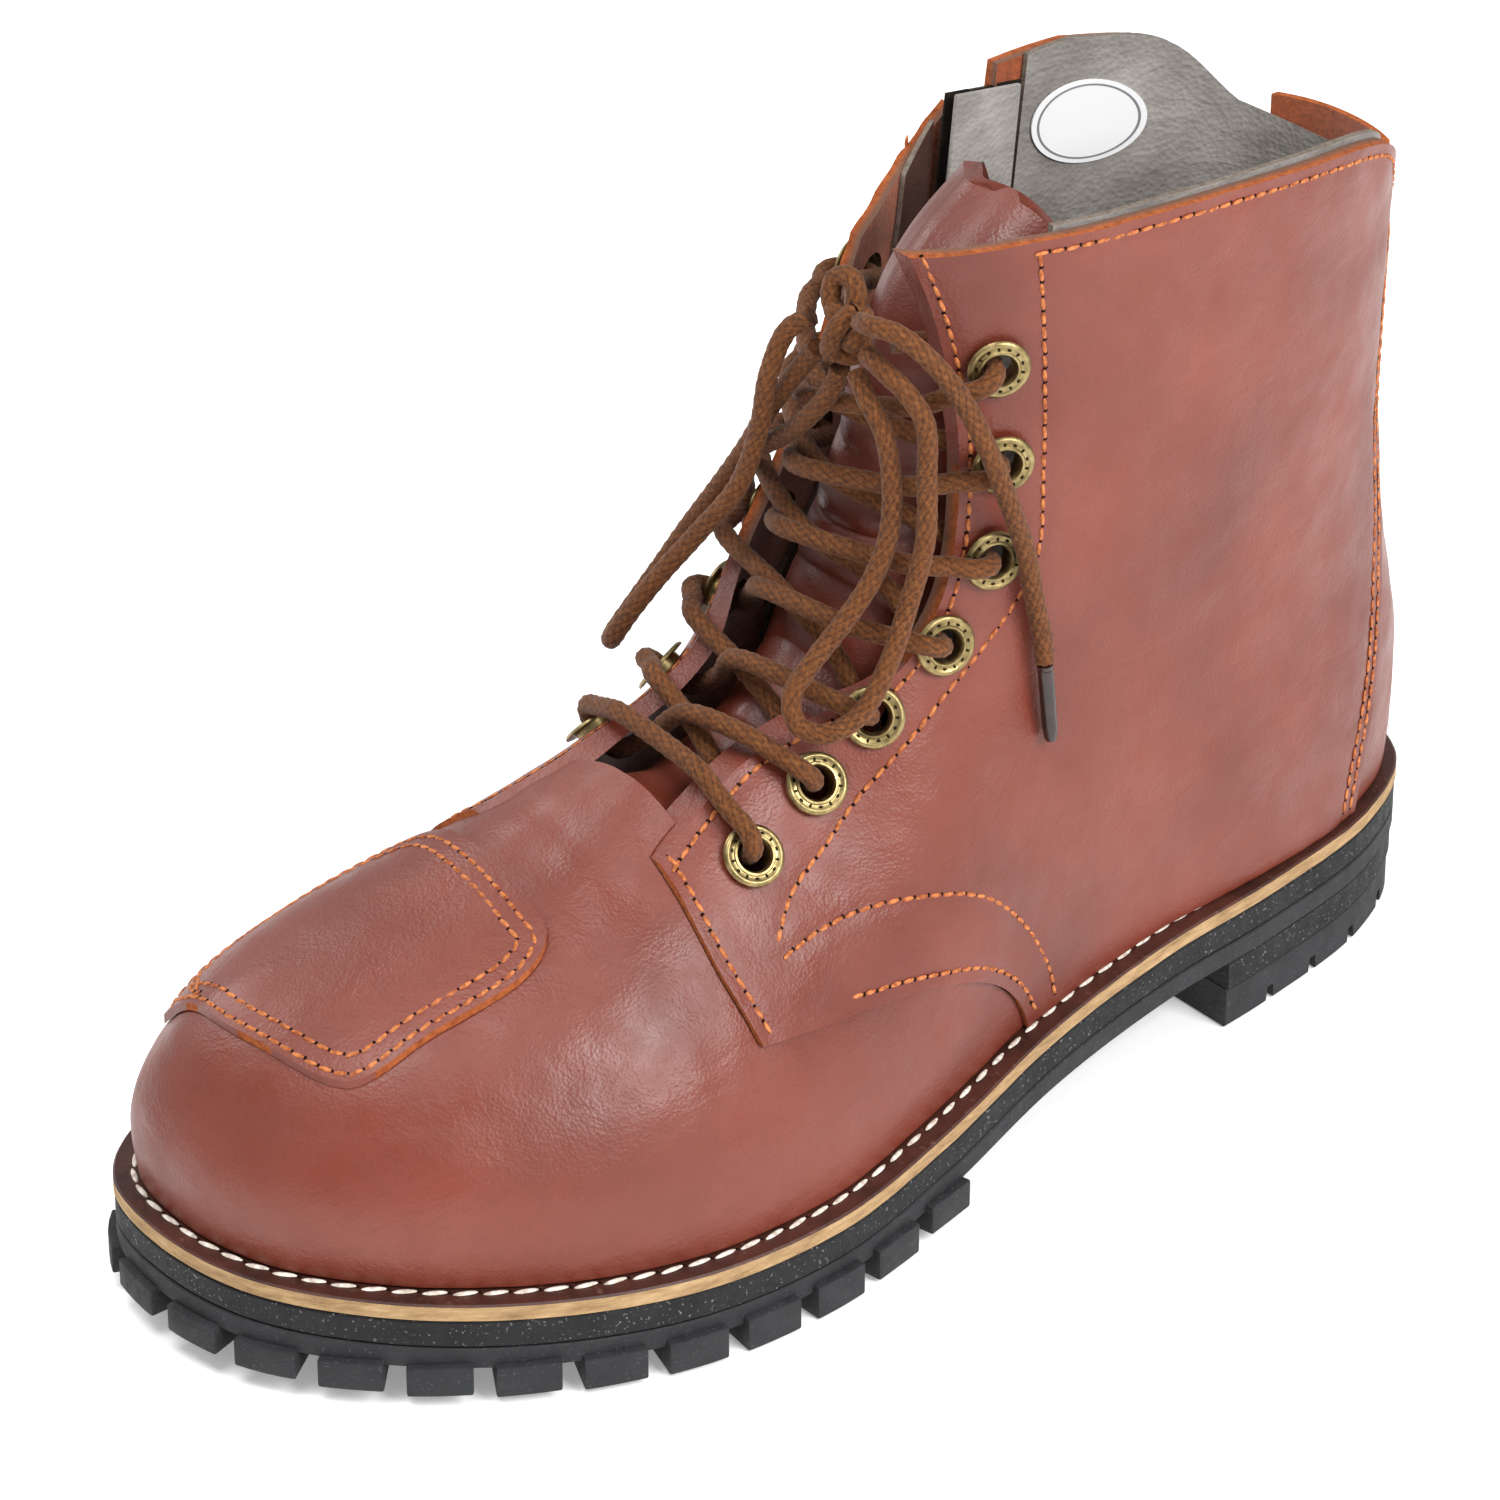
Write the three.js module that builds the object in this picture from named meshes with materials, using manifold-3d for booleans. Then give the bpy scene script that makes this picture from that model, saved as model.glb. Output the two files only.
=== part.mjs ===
// A laced leather boot for the left foot, with a side zip and a welted lug sole.
// Millimetres. +Z is up, the toe points along -Y and the outer (lateral) side along +X.
// The origin is on the ground, under the middle of the boot.
import * as THREE from 'three';
import { mergeVertices } from 'three/addons/utils/BufferGeometryUtils.js';
import Module from 'manifold-3d';

const wasm = await Module();
wasm.setup();

// ---- Driving dimensions ----
const GAP = 0.3; // clearance between pieces that touch
const WELT_TOP_BALL = 19.8; // height of the welt's top face at the ball of the foot
const WELT_TOP_HEEL = 30.6;
const TOE_SPRING = 5.2; // lift of the sole at the toe
const WELT_THICK = 3.7;
const MIDSOLE_THICK = 6.0;
const OUTSOLE_BODY = 4.6; // outsole without its lugs
const HEEL_BLOCK_HIGH = 9.0;
const HEEL_BREAST_Y = 77; // front face of the heel
const SHANK_START_Y = -8; // the forefoot lugs end here
const FEATHER_INSET = 5.6; // from the welt's edge in to the foot of the upper
const COLLAR_CUT_Z = 212; // the body surface runs past every top edge to here
const LEATHER_IN = -1.5; // inner face of the outer leather, measured from the body surface
const VAMP_OUT = 0.3; // outer face of the vamp and heel panel
const QUARTER_OUT = 1.5; // outer face of the quarters, which stand proud of the vamp
const LINING = [-3.0, -1.8]; // inner and outer face of the shaft lining
const FOOT_LINING = [-4.7, -3.4]; // toe and heel linings, inside the stiffeners
const STIFFENER = [-3.1, -1.8];
const EYELET_RADIUS = 6.1;
const EYELET_HOLE = 3.1;
const LACE_RADIUS = 1.95;
const BLEND = 11; // rounding between the foot and the shaft
const SIDES = { lateral: 1, medial: -1 };

// Welt edge in plan, from the toe round the lateral side, the heel and the medial side.
const WELT_EDGE = [
  [-14, -150.5], [8, -146], [29, -130], [46, -106], [57, -77], [59, -46], [53, -12], [45, 22],
  [40.5, 57], [37, 92], [30.5, 123], [18, 143], [-1, 149.5], [-21, 144], [-33.5, 123], [-36, 92],
  [-37, 60], [-39.5, 26], [-45.5, -8], [-54, -37], [-59, -68], [-58.5, -99], [-51, -128], [-36, -146],
];

// Side-view stations of the body: [y, ridge height, rounding width, rounding power].
const FOOT_STATIONS = [
  [-150, 63, 37, 2.8], [-120, 67, 39, 2.7], [-100, 72.5, 43, 2.4], [-80, 79, 46, 2.1], [-60, 88, 49, 1.85],
  [-40, 100, 50, 1.7], [-20, 111, 45, 1.75], [0, 129, 34, 1.9], [20, 138, 30, 2.0], [45, 138, 28, 2.2],
  [90, 116, 28, 2.6], [150, 104, 28, 2.8],
];
// Shaft stations: [z, front y, back y, half width].
const SHAFT_STATIONS = [
  [20, 30, 141, 29], [60, 22, 141, 32], [90, 8, 139, 34], [120, -5, 137, 37], [150, -3, 136, 39],
  [180, -3, 136, 41], [212, -3, 137, 43],
];
const SHAFT_POWER = 2.2;
const OPEN_MEDIAL = 20; // the front of the medial side lies open this far at the collar

// Eyelet centres in side view [y, z], from the toe end up.
const EYELETS = {
  lateral: [[-41, 84], [-23.6, 92.5], [-10, 103], [5, 114.6], [16, 130], [18.5, 150], [17, 171]],
  medial: [[-36, 85.5], [-20, 94], [-2, 103.5], [13, 116], [25, 129], [34, 143], [40, 157]],
};
// Panel outlines in side view [y, z]. Where a panel ends at the sole its outline runs below the surface.
const FACING_EDGE = {
  lateral: [[-55, 61], [-58, 73], [-57, 86], [-48, 91], [-36, 97], [-22, 102.5], [-4.5, 111], [6, 124.5],
    [10.8, 150], [7, 178], [3, 194]],
  medial: [[-62, 62], [-68, 72], [-66, 80], [-47, 91], [-33, 97], [-20, 103], [-8, 111.5], [6, 123],
    [20, 141], [30, 158], [36, 167]],
};
const WING_EDGE = [[22, 10], [20, 28], [12, 43.5], [2, 54], [-8, 59], [-27, 61], [-44, 61.5]];
const LATERAL_TOP = [[22, 196.5], [52, 197], [85, 194], [108, 189], [122, 181], [130, 169]];
const SEAM = [[131, 160], [130, 148], [129, 125], [130, 100], [128, 80], [124, 60], [120, 40], [118, 10]];
const MEDIAL_REAR_TOP = [[96, 188], [115, 184], [126, 171]];
const MEDIAL_FRONT_TOP = [[48, 171], [60, 177]];
const ZIP_TOP = [73.5, 184];
const ZIP_BOTTOM = [52, 48];
const ZIP_HALF_SLIT = 5.5;

// ---- Small helpers ----
const lerp = (a, b, t) => a + (b - a) * t;
const clamp = (v, low, high) => Math.min(Math.max(v, low), high);
const radians = (degrees) => (degrees * Math.PI) / 180;

// Smooth value of column `column` at `key`, in a table sorted by its first column.
function along(table, key, column) {
  let i = 1;
  while (i < table.length - 1 && table[i][0] < key) i += 1;
  const p = [i - 2, i - 1, i, i + 1].map((k) => table[clamp(k, 0, table.length - 1)]);
  const span = p[2][0] - p[1][0];
  const t = clamp((key - p[1][0]) / span, 0, 1);
  const slope = (a, b) => (b[0] > a[0] ? ((b[column] - a[column]) / (b[0] - a[0])) * span : 0);
  const m1 = slope(p[0], p[2]);
  const m2 = slope(p[1], p[3]);
  return (2 * t ** 3 - 3 * t ** 2 + 1) * p[1][column] + (t ** 3 - 2 * t ** 2 + t) * m1
    + (3 * t ** 2 - 2 * t ** 3) * p[2][column] + (t ** 3 - t ** 2) * m2;
}

// ---- Plan outline ----
const EDGE_STEPS = 144; // divides evenly into SOLE_STEPS
const edgeCurve = new THREE.CatmullRomCurve3(
  WELT_EDGE.map(([x, y]) => new THREE.Vector3(x, y, 0)), true, 'centripetal',
);
const edgePoints = edgeCurve.getSpacedPoints(EDGE_STEPS).slice(0, EDGE_STEPS);

// The welt's edge moved inward by `inset` (outward where negative), as `count` points.
function outline(inset, count = EDGE_STEPS) {
  const step = EDGE_STEPS / count;
  return Array.from({ length: count }, (_, i) => {
    const k = i * step;
    const before = edgePoints[(k + EDGE_STEPS - 1) % EDGE_STEPS];
    const after = edgePoints[(k + 1) % EDGE_STEPS];
    const tangent = after.clone().sub(before).normalize();
    return new THREE.Vector2(edgePoints[k].x - tangent.y * inset, edgePoints[k].y + tangent.x * inset);
  });
}

const featherLine = outline(FEATHER_INSET);

// Distance inward from the feather line, negative outside it.
function depthInside(x, y) {
  let best = Infinity;
  let inside = false;
  for (let i = 0; i < featherLine.length; i += 1) {
    const a = featherLine[i];
    const b = featherLine[(i + 1) % featherLine.length];
    const ex = b.x - a.x;
    const ey = b.y - a.y;
    const t = clamp(((x - a.x) * ex + (y - a.y) * ey) / (ex * ex + ey * ey), 0, 1);
    best = Math.min(best, Math.hypot(x - a.x - ex * t, y - a.y - ey * t));
    if ((a.y > y) !== (b.y > y) && x < a.x + (ex * (y - a.y)) / ey) inside = !inside;
  }
  return inside ? best : -best;
}

// Height of the welt's top face along the foot.
function weltTop(y) {
  const forward = clamp((-50 - y) / 100, 0, 1.1);
  const back = clamp((y + 45) / 115, 0, 1);
  const rise = WELT_TOP_HEEL - WELT_TOP_BALL;
  return WELT_TOP_BALL + TOE_SPRING * forward ** 2 + rise * back * back * (3 - 2 * back);
}

// ---- The body surface: where the outer leather lies ----
// Negative inside, zero on the surface, roughly in millimetres.
function body(x, y, z) {
  const base = weltTop(y);
  const rise = along(FOOT_STATIONS, y, 1) - base;
  const width = along(FOOT_STATIONS, y, 2);
  const power = along(FOOT_STATIONS, y, 3);
  const level = Math.max(z - base, 0) / rise;
  const bulge = 1.8 * Math.sin(Math.PI * clamp(level / 0.7, 0, 1));
  const inward = Math.max(1 - (depthInside(x, y) + bulge) / width, 0);
  const foot = ((inward ** power + level ** power) ** (1 / power) - 1) * width;
  const front = along(SHAFT_STATIONS, z, 1);
  const back = along(SHAFT_STATIONS, z, 2);
  const half = along(SHAFT_STATIONS, z, 3);
  const reach = (back - front) / 2;
  const ahead = front + reach - y;
  const slack = OPEN_MEDIAL * clamp((z - 110) / 55, 0, 1) * clamp(-x / half, 0, 1) * clamp(ahead / 25, 0, 1);
  const ring = (Math.abs(x / half) ** SHAFT_POWER + Math.abs((ahead + slack) / reach) ** SHAFT_POWER)
    ** (1 / SHAFT_POWER);
  const shaft = (ring - 1) * half;
  const mix = clamp(0.5 + (0.5 * (shaft - foot)) / BLEND, 0, 1);
  return lerp(shaft, foot, mix) - BLEND * mix * (1 - mix);
}

function bodyNormal(p) {
  const h = 0.4;
  return new THREE.Vector3(
    body(p.x + h, p.y, p.z) - body(p.x - h, p.y, p.z),
    body(p.x, p.y + h, p.z) - body(p.x, p.y - h, p.z),
    body(p.x, p.y, p.z + h) - body(p.x, p.y, p.z - h),
  ).normalize();
}

// Where a ray from inside the body leaves it.
function leaves(origin, direction, reach = 120) {
  let near = 0;
  let far = reach;
  for (let i = 0; i < 26; i += 1) {
    const middle = (near + far) / 2;
    const p = origin.clone().addScaledVector(direction, middle);
    if (body(p.x, p.y, p.z) < 0) near = middle;
    else far = middle;
  }
  return origin.clone().addScaledVector(direction, near);
}

// A point on one side of the boot, given in side view.
const sidePoint = (side, y, z) => leaves(new THREE.Vector3(0, y, z), new THREE.Vector3(side, 0, 0));

// ---- Surface grid: meridians from the feather line up to the ridge and the collar ----
const MERIDIANS = 25;
const LEVELS = 10;
const AXIS_X = -7; // middle of the toe
const COLLAR_START = 15; // the meridian where the ridge ends and the collar begins

// Start point and direction of the ray for meridian u (0 toe, 1 heel) and level v (0 foot, 1 top).
function ray(u, v, side) {
  const fan = clamp(u / 0.2, 0, 1);
  const heel = clamp((u - 0.8) / 0.2, 0, 1);
  const run = clamp((u - 0.2) / 0.6, 0, 1);
  const turn = radians(90 * fan + 90 * heel);
  const lowY = lerp(-105, 105, run);
  const low = new THREE.Vector3(lerp(AXIS_X, 0, run), lowY, 0);
  const lowWay = new THREE.Vector3(side * Math.sin(turn), -Math.cos(turn), 0);
  const high = new THREE.Vector3();
  const highWay = new THREE.Vector3();
  const collar = COLLAR_START / MERIDIANS;
  if (u < collar) {
    const t = u / collar;
    const lean = radians(lerp(0, 90, clamp((t - 0.3) / 0.6, 0, 1)));
    const climb = clamp((t - 0.35) / 0.65, 0, 1);
    high.set(lerp(AXIS_X, 0, t), lerp(-114, 67, t ** 1.15), lerp(30, COLLAR_CUT_Z, climb));
    highWay.set(0, -Math.sin(lean), Math.cos(lean));
  } else {
    const swing = radians(lerp(0, 180, (u - collar) / (1 - collar)));
    high.set(0, 67, COLLAR_CUT_Z);
    highWay.set(side * Math.sin(swing), -Math.cos(swing), 0);
  }
  return { low, lowWay, high, highWay };
}

function gridPoint(u, v, side) {
  const { low, lowWay, high, highWay } = ray(u, v, side);
  const foot = leaves(new THREE.Vector3(low.x, low.y, weltTop(low.y) + 1), lowWay);
  const p = low.clone().lerp(high, v);
  p.z = lerp(weltTop(foot.y) + 2 * GAP, high.z, v);
  const way = lowWay.clone().lerp(highWay, v).normalize();
  return leaves(p, way);
}

const grid = { lateral: [], medial: [] };
for (const [name, side] of Object.entries(SIDES)) {
  for (let i = 0; i <= MERIDIANS; i += 1) {
    const column = [];
    for (let j = 0; j <= LEVELS; j += 1) {
      const p = gridPoint(i / MERIDIANS, j / LEVELS, side);
      const n = bodyNormal(p);
      if (j === 0) n.setZ(0).normalize();
      column.push({ p, n });
    }
    grid[name].push(column);
  }
}

// ---- Closed meshes ----
// A geometry from loose triangles: shared corners merged, empty triangles dropped.
function closed(triangles) {
  const loose = new THREE.BufferGeometry();
  const coordinates = triangles.flatMap((p) => [p.x, p.y, p.z]);
  loose.setAttribute('position', new THREE.Float32BufferAttribute(coordinates, 3));
  const merged = mergeVertices(loose, 1e-3);
  const index = Array.from(merged.index.array);
  const kept = [];
  for (let i = 0; i < index.length; i += 3) {
    const [a, b, c] = index.slice(i, i + 3);
    if (a !== b && b !== c && a !== c) kept.push(a, b, c);
  }
  merged.setIndex(kept);
  return merged;
}

// Two triangles for each cell of a grid of points; `flip` turns them over.
function sheet(rows, flip = false) {
  const triangles = [];
  for (let i = 0; i + 1 < rows.length; i += 1) {
    for (let j = 0; j + 1 < rows[i].length; j += 1) {
      const [a, b, c, d] = [rows[i][j], rows[i + 1][j], rows[i + 1][j + 1], rows[i][j + 1]];
      triangles.push(...(flip ? [a, c, b, a, d, c] : [a, b, c, a, c, d]));
    }
  }
  return triangles;
}

// The closed solid between two grids of points; `front` faces out.
function between(front, back) {
  const last = front.length - 1;
  const columns = (rows, k) => rows.map((row) => row.at(k));
  return closed([
    ...sheet(front), ...sheet(back, true),
    ...sheet([front[0], back[0]], true), ...sheet([front[last], back[last]]),
    ...sheet([columns(front, 0), columns(back, 0)]), ...sheet([columns(front, -1), columns(back, -1)], true),
  ]);
}

function toManifold(geometry) {
  const bare = geometry.clone();
  ['normal', 'uv'].forEach((name) => bare.deleteAttribute(name));
  const merged = mergeVertices(bare, 1e-4);
  return new wasm.Manifold(new wasm.Mesh({
    numProp: 3, vertProperties: new Float32Array(merged.attributes.position.array),
    triVerts: new Uint32Array(merged.index.array),
  }));
}

function fromManifold(manifold) {
  const mesh = manifold.getMesh();
  const geometry = new THREE.BufferGeometry();
  geometry.setAttribute('position', new THREE.BufferAttribute(Float32Array.from(mesh.vertProperties), 3));
  geometry.setIndex(Array.from(mesh.triVerts));
  return geometry;
}

// ---- Shells of the body surface ----
// The closed shell between two offsets of the body surface, open at the sole and at the top.
const shells = new Map();
function shell([inner, outer]) {
  const key = `${inner} ${outer}`;
  if (!shells.has(key)) {
    const triangles = [];
    const offset = (column, off) => column.map(({ p, n }) => p.clone().addScaledVector(n, off));
    for (const [name, side] of Object.entries(SIDES)) {
      const outside = grid[name].map((column) => offset(column, outer));
      const inside = grid[name].map((column) => offset(column, inner));
      const turned = side < 0;
      triangles.push(...sheet(outside, turned), ...sheet(inside, !turned));
      const rim = (k, from) => [outside, inside].map((rows) => rows.slice(from).map((row) => row.at(k)));
      triangles.push(...sheet(rim(0, 0), turned), ...sheet(rim(-1, COLLAR_START), !turned));
    }
    shells.set(key, toManifold(closed(triangles)));
  }
  return shells.get(key);
}

// A prism along X over an outline given in side view.
function sidePrism(points, fromX, toX) {
  const shape = new THREE.Shape(points.map(([y, z]) => new THREE.Vector2(y, z)));
  const geometry = new THREE.ExtrudeGeometry(shape, { depth: toX - fromX, bevelEnabled: false, steps: 1 });
  geometry.applyMatrix4(new THREE.Matrix4().makeBasis(
    new THREE.Vector3(0, 1, 0), new THREE.Vector3(0, 0, 1), new THREE.Vector3(1, 0, 0),
  ).setPosition(fromX, 0, 0));
  return toManifold(geometry);
}

// A prism along Z over an outline given in plan.
function planPrism(points, fromZ, toZ) {
  const shape = new THREE.Shape(points.map(([x, y]) => new THREE.Vector2(x, y)));
  const geometry = new THREE.ExtrudeGeometry(shape, { depth: toZ - fromZ, bevelEnabled: false, steps: 1 });
  geometry.translate(0, 0, fromZ);
  return toManifold(geometry);
}

// A smooth closed outline rounded off between `corners`; each run of points is one smooth edge.
function smoothOutline(runs) {
  return runs.flatMap((run) => {
    if (run.length < 3) return run;
    const curve = new THREE.SplineCurve(run.map(([a, b]) => new THREE.Vector2(a, b)));
    return curve.getPoints((run.length - 1) * 2).map((p) => [p.x, p.y]);
  });
}

// An outline moved outward by `by`.
function grow(points, by) {
  const turn = THREE.ShapeUtils.area(points.map(([a, b]) => new THREE.Vector2(a, b))) > 0 ? 1 : -1;
  return points.map((p, i) => {
    const before = points[(i + points.length - 1) % points.length];
    const after = points[(i + 1) % points.length];
    const normals = [[before, p], [p, after]]
      .map(([a, b]) => new THREE.Vector2(b[1] - a[1], a[0] - b[0]).normalize());
    const sum = normals[0].clone().add(normals[1]);
    const scale = (by * turn) / Math.max(0.5 * sum.lengthSq(), 0.4);
    return [p[0] + sum.x * scale, p[1] + sum.y * scale];
  });
}

const UNDER = [[118, 5], [20, 5]]; // outlines that reach the sole close below it
const zipAt = (z) => lerp(ZIP_BOTTOM[0], ZIP_TOP[0], (z - ZIP_BOTTOM[1]) / (ZIP_TOP[1] - ZIP_BOTTOM[1]));
const zipEdge = (z, by) => [zipAt(z) + by, z];

const outlines = {
  quarter_lateral: smoothOutline([
    FACING_EDGE.lateral.slice(0, 3), FACING_EDGE.lateral.slice(2), LATERAL_TOP, SEAM, UNDER, WING_EDGE,
  ]),
  quarter_medial_front: smoothOutline([
    FACING_EDGE.medial.slice(0, 3), FACING_EDGE.medial.slice(2), MEDIAL_FRONT_TOP,
    [zipEdge(182, -ZIP_HALF_SLIT), zipEdge(44, -ZIP_HALF_SLIT), zipEdge(38, -GAP / 2), zipEdge(5, -GAP / 2)],
    WING_EDGE,
  ]),
  quarter_medial_rear: smoothOutline([
    [zipEdge(5, GAP / 2), zipEdge(38, GAP / 2)], [zipEdge(44, ZIP_HALF_SLIT), zipEdge(187, ZIP_HALF_SLIT)],
    MEDIAL_REAR_TOP, SEAM,
  ]),
};

const boot = new THREE.Group();
const finishes = {};
function finish(name, color, roughness, metalness = 0) {
  finishes[name] = new THREE.MeshStandardMaterial({ name, color, roughness, metalness });
}
finish('upper_leather', 0x7d3f2c, 0.5);
finish('tongue_leather', 0x6f3626, 0.45);
finish('suede', 0xa4562a, 0.95);
finish('lining_leather', 0x8c8680, 0.8);
finish('stiffener', 0xb9a68a, 0.9);
finish('welt_leather', 0xa88a63, 0.75);
finish('insole_board', 0xa5835b, 0.9);
finish('cork', 0x9b7650, 1.0);
finish('shank_steel', 0x9a9ca0, 0.35, 1.0);
finish('footbed', 0x6e6a66, 0.9);
finish('midsole_rubber', 0x111214, 0.75);
finish('outsole_rubber', 0x2b2c2f, 0.7);
finish('eyelet_brass', 0x8f7a45, 0.4, 1.0);
finish('lace_cord', 0x6b4322, 0.85);
finish('aglet', 0x24130c, 0.25);
finish('zip_tape', 0x17130f, 0.95);
finish('zip_metal', 0x4a4640, 0.35, 1.0);
finish('label_paper', 0xe9e9ea, 0.6);

function add(name, geometry, slot, parent = boot) {
  const mesh = new THREE.Mesh(geometry, finishes[slot]);
  mesh.name = name;
  mesh.geometry.computeVertexNormals();
  parent.add(mesh);
  return mesh;
}

// ---- Sole ----
// A layer of the sole between two heights, over pairs of points from the toe to the heel.
function layer(pairs, low, high) {
  const rows = (height) => pairs.map(([a, b]) => [0, 0.5, 1].map((t) => {
    const y = lerp(a[1], b[1], t);
    return new THREE.Vector3(lerp(a[0], b[0], t), y, height(y));
  }));
  return between(rows(low), rows(high));
}

const SOLE_STEPS = 48;
function solePairs(inset, steps = SOLE_STEPS) {
  const points = outline(inset, steps);
  return Array.from({ length: steps / 2 + 1 }, (_, k) => [points[(steps - k) % steps], points[k]]
    .map((p) => [p.x, p.y]));
}
const below = (drop) => (y) => weltTop(y) - drop;
const midsoleFoot = WELT_THICK + MIDSOLE_THICK;
const outsoleTop = midsoleFoot + GAP;
const outsoleFoot = outsoleTop + OUTSOLE_BODY;
const ground = (y) => Math.max(weltTop(y) - WELT_TOP_BALL, 0); // the toe's lift, seen from below

const box = (x0, x1, y0, y1, z0, z1) => toManifold(
  new THREE.BoxGeometry(x1 - x0, y1 - y0, z1 - z0).translate((x0 + x1) / 2, (y0 + y1) / 2, (z0 + z1) / 2),
);

// The welt is a flat ring under the edge of the upper.
const WELT_WIDTH = 11;
const weltRing = [[0, WELT_THICK], [0, 0], [WELT_WIDTH, 0], [WELT_WIDTH, WELT_THICK], [0, WELT_THICK]]
  .map(([inset, drop]) => {
    const points = outline(inset, SOLE_STEPS);
    return [...points, points[0]].map((p) => new THREE.Vector3(p.x, p.y, weltTop(p.y) - drop));
  });
add('welt', closed(sheet(weltRing, true)), 'welt_leather');
add('rubber_midsole', layer(solePairs(0.2), below(midsoleFoot), below(WELT_THICK + GAP)), 'midsole_rubber');

// Forefoot lugs: a rim of blocks round the edge and two rows of pads inside it.
const FLARE = -1.6; // the tread stands this far outside the welt
const LUG_RIM = 15; // from the tread's edge in to the inner end of a lug
const LUGS = 11; // on each side
const LUG_FIRST = 0.5; // in steps of the plan outline, from the toe
const LUG_PITCH = 3.4;
const LUG_LONG = 2.55;
const PADS = 6;
const PAD_HALF = [9, 6];
const PAD_MIDDLE_X = -6;
const PAD_SPREAD = 13; // from the middle of the tread to the middle of a pad
const PAD_SKEW = 3;
const PAD_PITCH = 19;
const PAD_FIRST_Y = -122;
const LUG_BURIED = 2; // how far a lug runs up into the outsole's body
function planPoint(points, k) {
  const from = Math.floor(k);
  const [a, b] = [points[(from + EDGE_STEPS) % EDGE_STEPS], points[(from + 1 + EDGE_STEPS) % EDGE_STEPS]];
  return [lerp(a.x, b.x, k - from), lerp(a.y, b.y, k - from)];
}
function lug(corners) {
  const y = corners.reduce((sum, corner) => sum + corner[1], 0) / corners.length;
  const lowest = Math.min(...corners.map((corner) => weltTop(corner[1])));
  return planPrism(corners, ground(y), lowest - outsoleFoot + LUG_BURIED);
}
function forefootLugs() {
  const outer = outline(FLARE);
  const inner = outline(LUG_RIM);
  const lugs = [];
  for (const side of Object.values(SIDES)) {
    for (let i = 0; i < LUGS; i += 1) {
      const start = LUG_FIRST + i * LUG_PITCH;
      const steps = [start, start + LUG_LONG / 2, start + LUG_LONG].map((k) => k * side);
      const inward = [steps[2], steps[0]].map((k) => planPoint(inner, k));
      lugs.push(lug([...steps.map((k) => planPoint(outer, k)), ...inward]));
    }
    for (let i = 0; i < PADS; i += 1) {
      const y = PAD_FIRST_Y + i * PAD_PITCH;
      const x = PAD_MIDDLE_X + side * PAD_SPREAD;
      const [hx, hy] = PAD_HALF;
      lugs.push(lug([[x - hx, y - hy], [x + hx, y - hy + side * PAD_SKEW], [x + hx, y + hy],
        [x - hx, y + hy - side * PAD_SKEW]]));
    }
  }
  return lugs;
}
const outsoleBody = toManifold(layer(solePairs(0.2), below(outsoleFoot), below(outsoleTop)));
const lugged = forefootLugs().reduce((solid, piece) => solid.add(piece), outsoleBody);
add('outsole', fromManifold(lugged), 'outsole_rubber');

// Heel: a lift and a block with narrow notches, both cut off square at the breast.
const heelTop = outsoleFoot + GAP;
const heelRange = box(-80, 80, HEEL_BREAST_Y, 200, -5, 60);
const HEEL_NOTCHES = [91, 105, 119, 133];
add('heel_lift', fromManifold(
  toManifold(layer(solePairs(0.6), () => HEEL_BLOCK_HIGH + GAP, below(heelTop))).intersect(heelRange),
), 'midsole_rubber');
let heelBlock = toManifold(layer(solePairs(1), () => 0, () => HEEL_BLOCK_HIGH)).intersect(heelRange);
const NOTCH = { half: 1.2, deep: 3.6 };
for (const y of HEEL_NOTCHES) {
  heelBlock = heelBlock.subtract(box(-80, 80, y - NOTCH.half, y + NOTCH.half, -1, NOTCH.deep));
}
const heelChannel = box(-9, 9, HEEL_BREAST_Y + 10, 128, -1, 3);
add('heel_block', fromManifold(heelBlock.subtract(heelChannel)), 'outsole_rubber');

// Inside the sole.
const insideInset = FEATHER_INSET + 6.2;
const strip = (halfWidth, fromY, toY) => Array.from({ length: 9 }, (_, i) => [-1, 1]
  .map((side) => [side * halfWidth, lerp(fromY, toY, i / 8)]));
const SHANK_THICK = 1.3;
const SHANK = { half: 8, fromY: -22, toY: 74, room: 0.5 };
const FILLER_STEPS = 36;
const BOARD_TOP = 2.6; // above the welt's top face
const FOOTBED_TOP = 6.4;
const shankRoom = layer(
  strip(SHANK.half + SHANK.room, SHANK.fromY - SHANK.room, SHANK.toY + SHANK.room),
  below(WELT_THICK + 2), below(WELT_THICK - SHANK_THICK - GAP),
);
const filler = layer(solePairs(WELT_WIDTH + 1, FILLER_STEPS), below(WELT_THICK), below(GAP));
add('cork_filler', fromManifold(toManifold(filler).subtract(toManifold(shankRoom))), 'cork');
add('shank', layer(
  strip(SHANK.half, SHANK.fromY, SHANK.toY), below(WELT_THICK), below(WELT_THICK - SHANK_THICK),
), 'shank_steel');
add('insole_board', layer(
  solePairs(insideInset, FILLER_STEPS), below(-GAP), below(-BOARD_TOP),
), 'insole_board');
add('footbed', layer(
  solePairs(insideInset + GAP, FILLER_STEPS), below(-BOARD_TOP - GAP), below(-FOOTBED_TOP),
), 'footbed');

// ---- Upper ----
const LATERAL_X = [0, 90];
const MEDIAL_X = [-90, 0];
const quarterShell = shell([LEATHER_IN, QUARTER_OUT]);
const panelRange = {
  quarter_lateral: LATERAL_X, quarter_medial_front: MEDIAL_X, quarter_medial_rear: MEDIAL_X,
};

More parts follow.
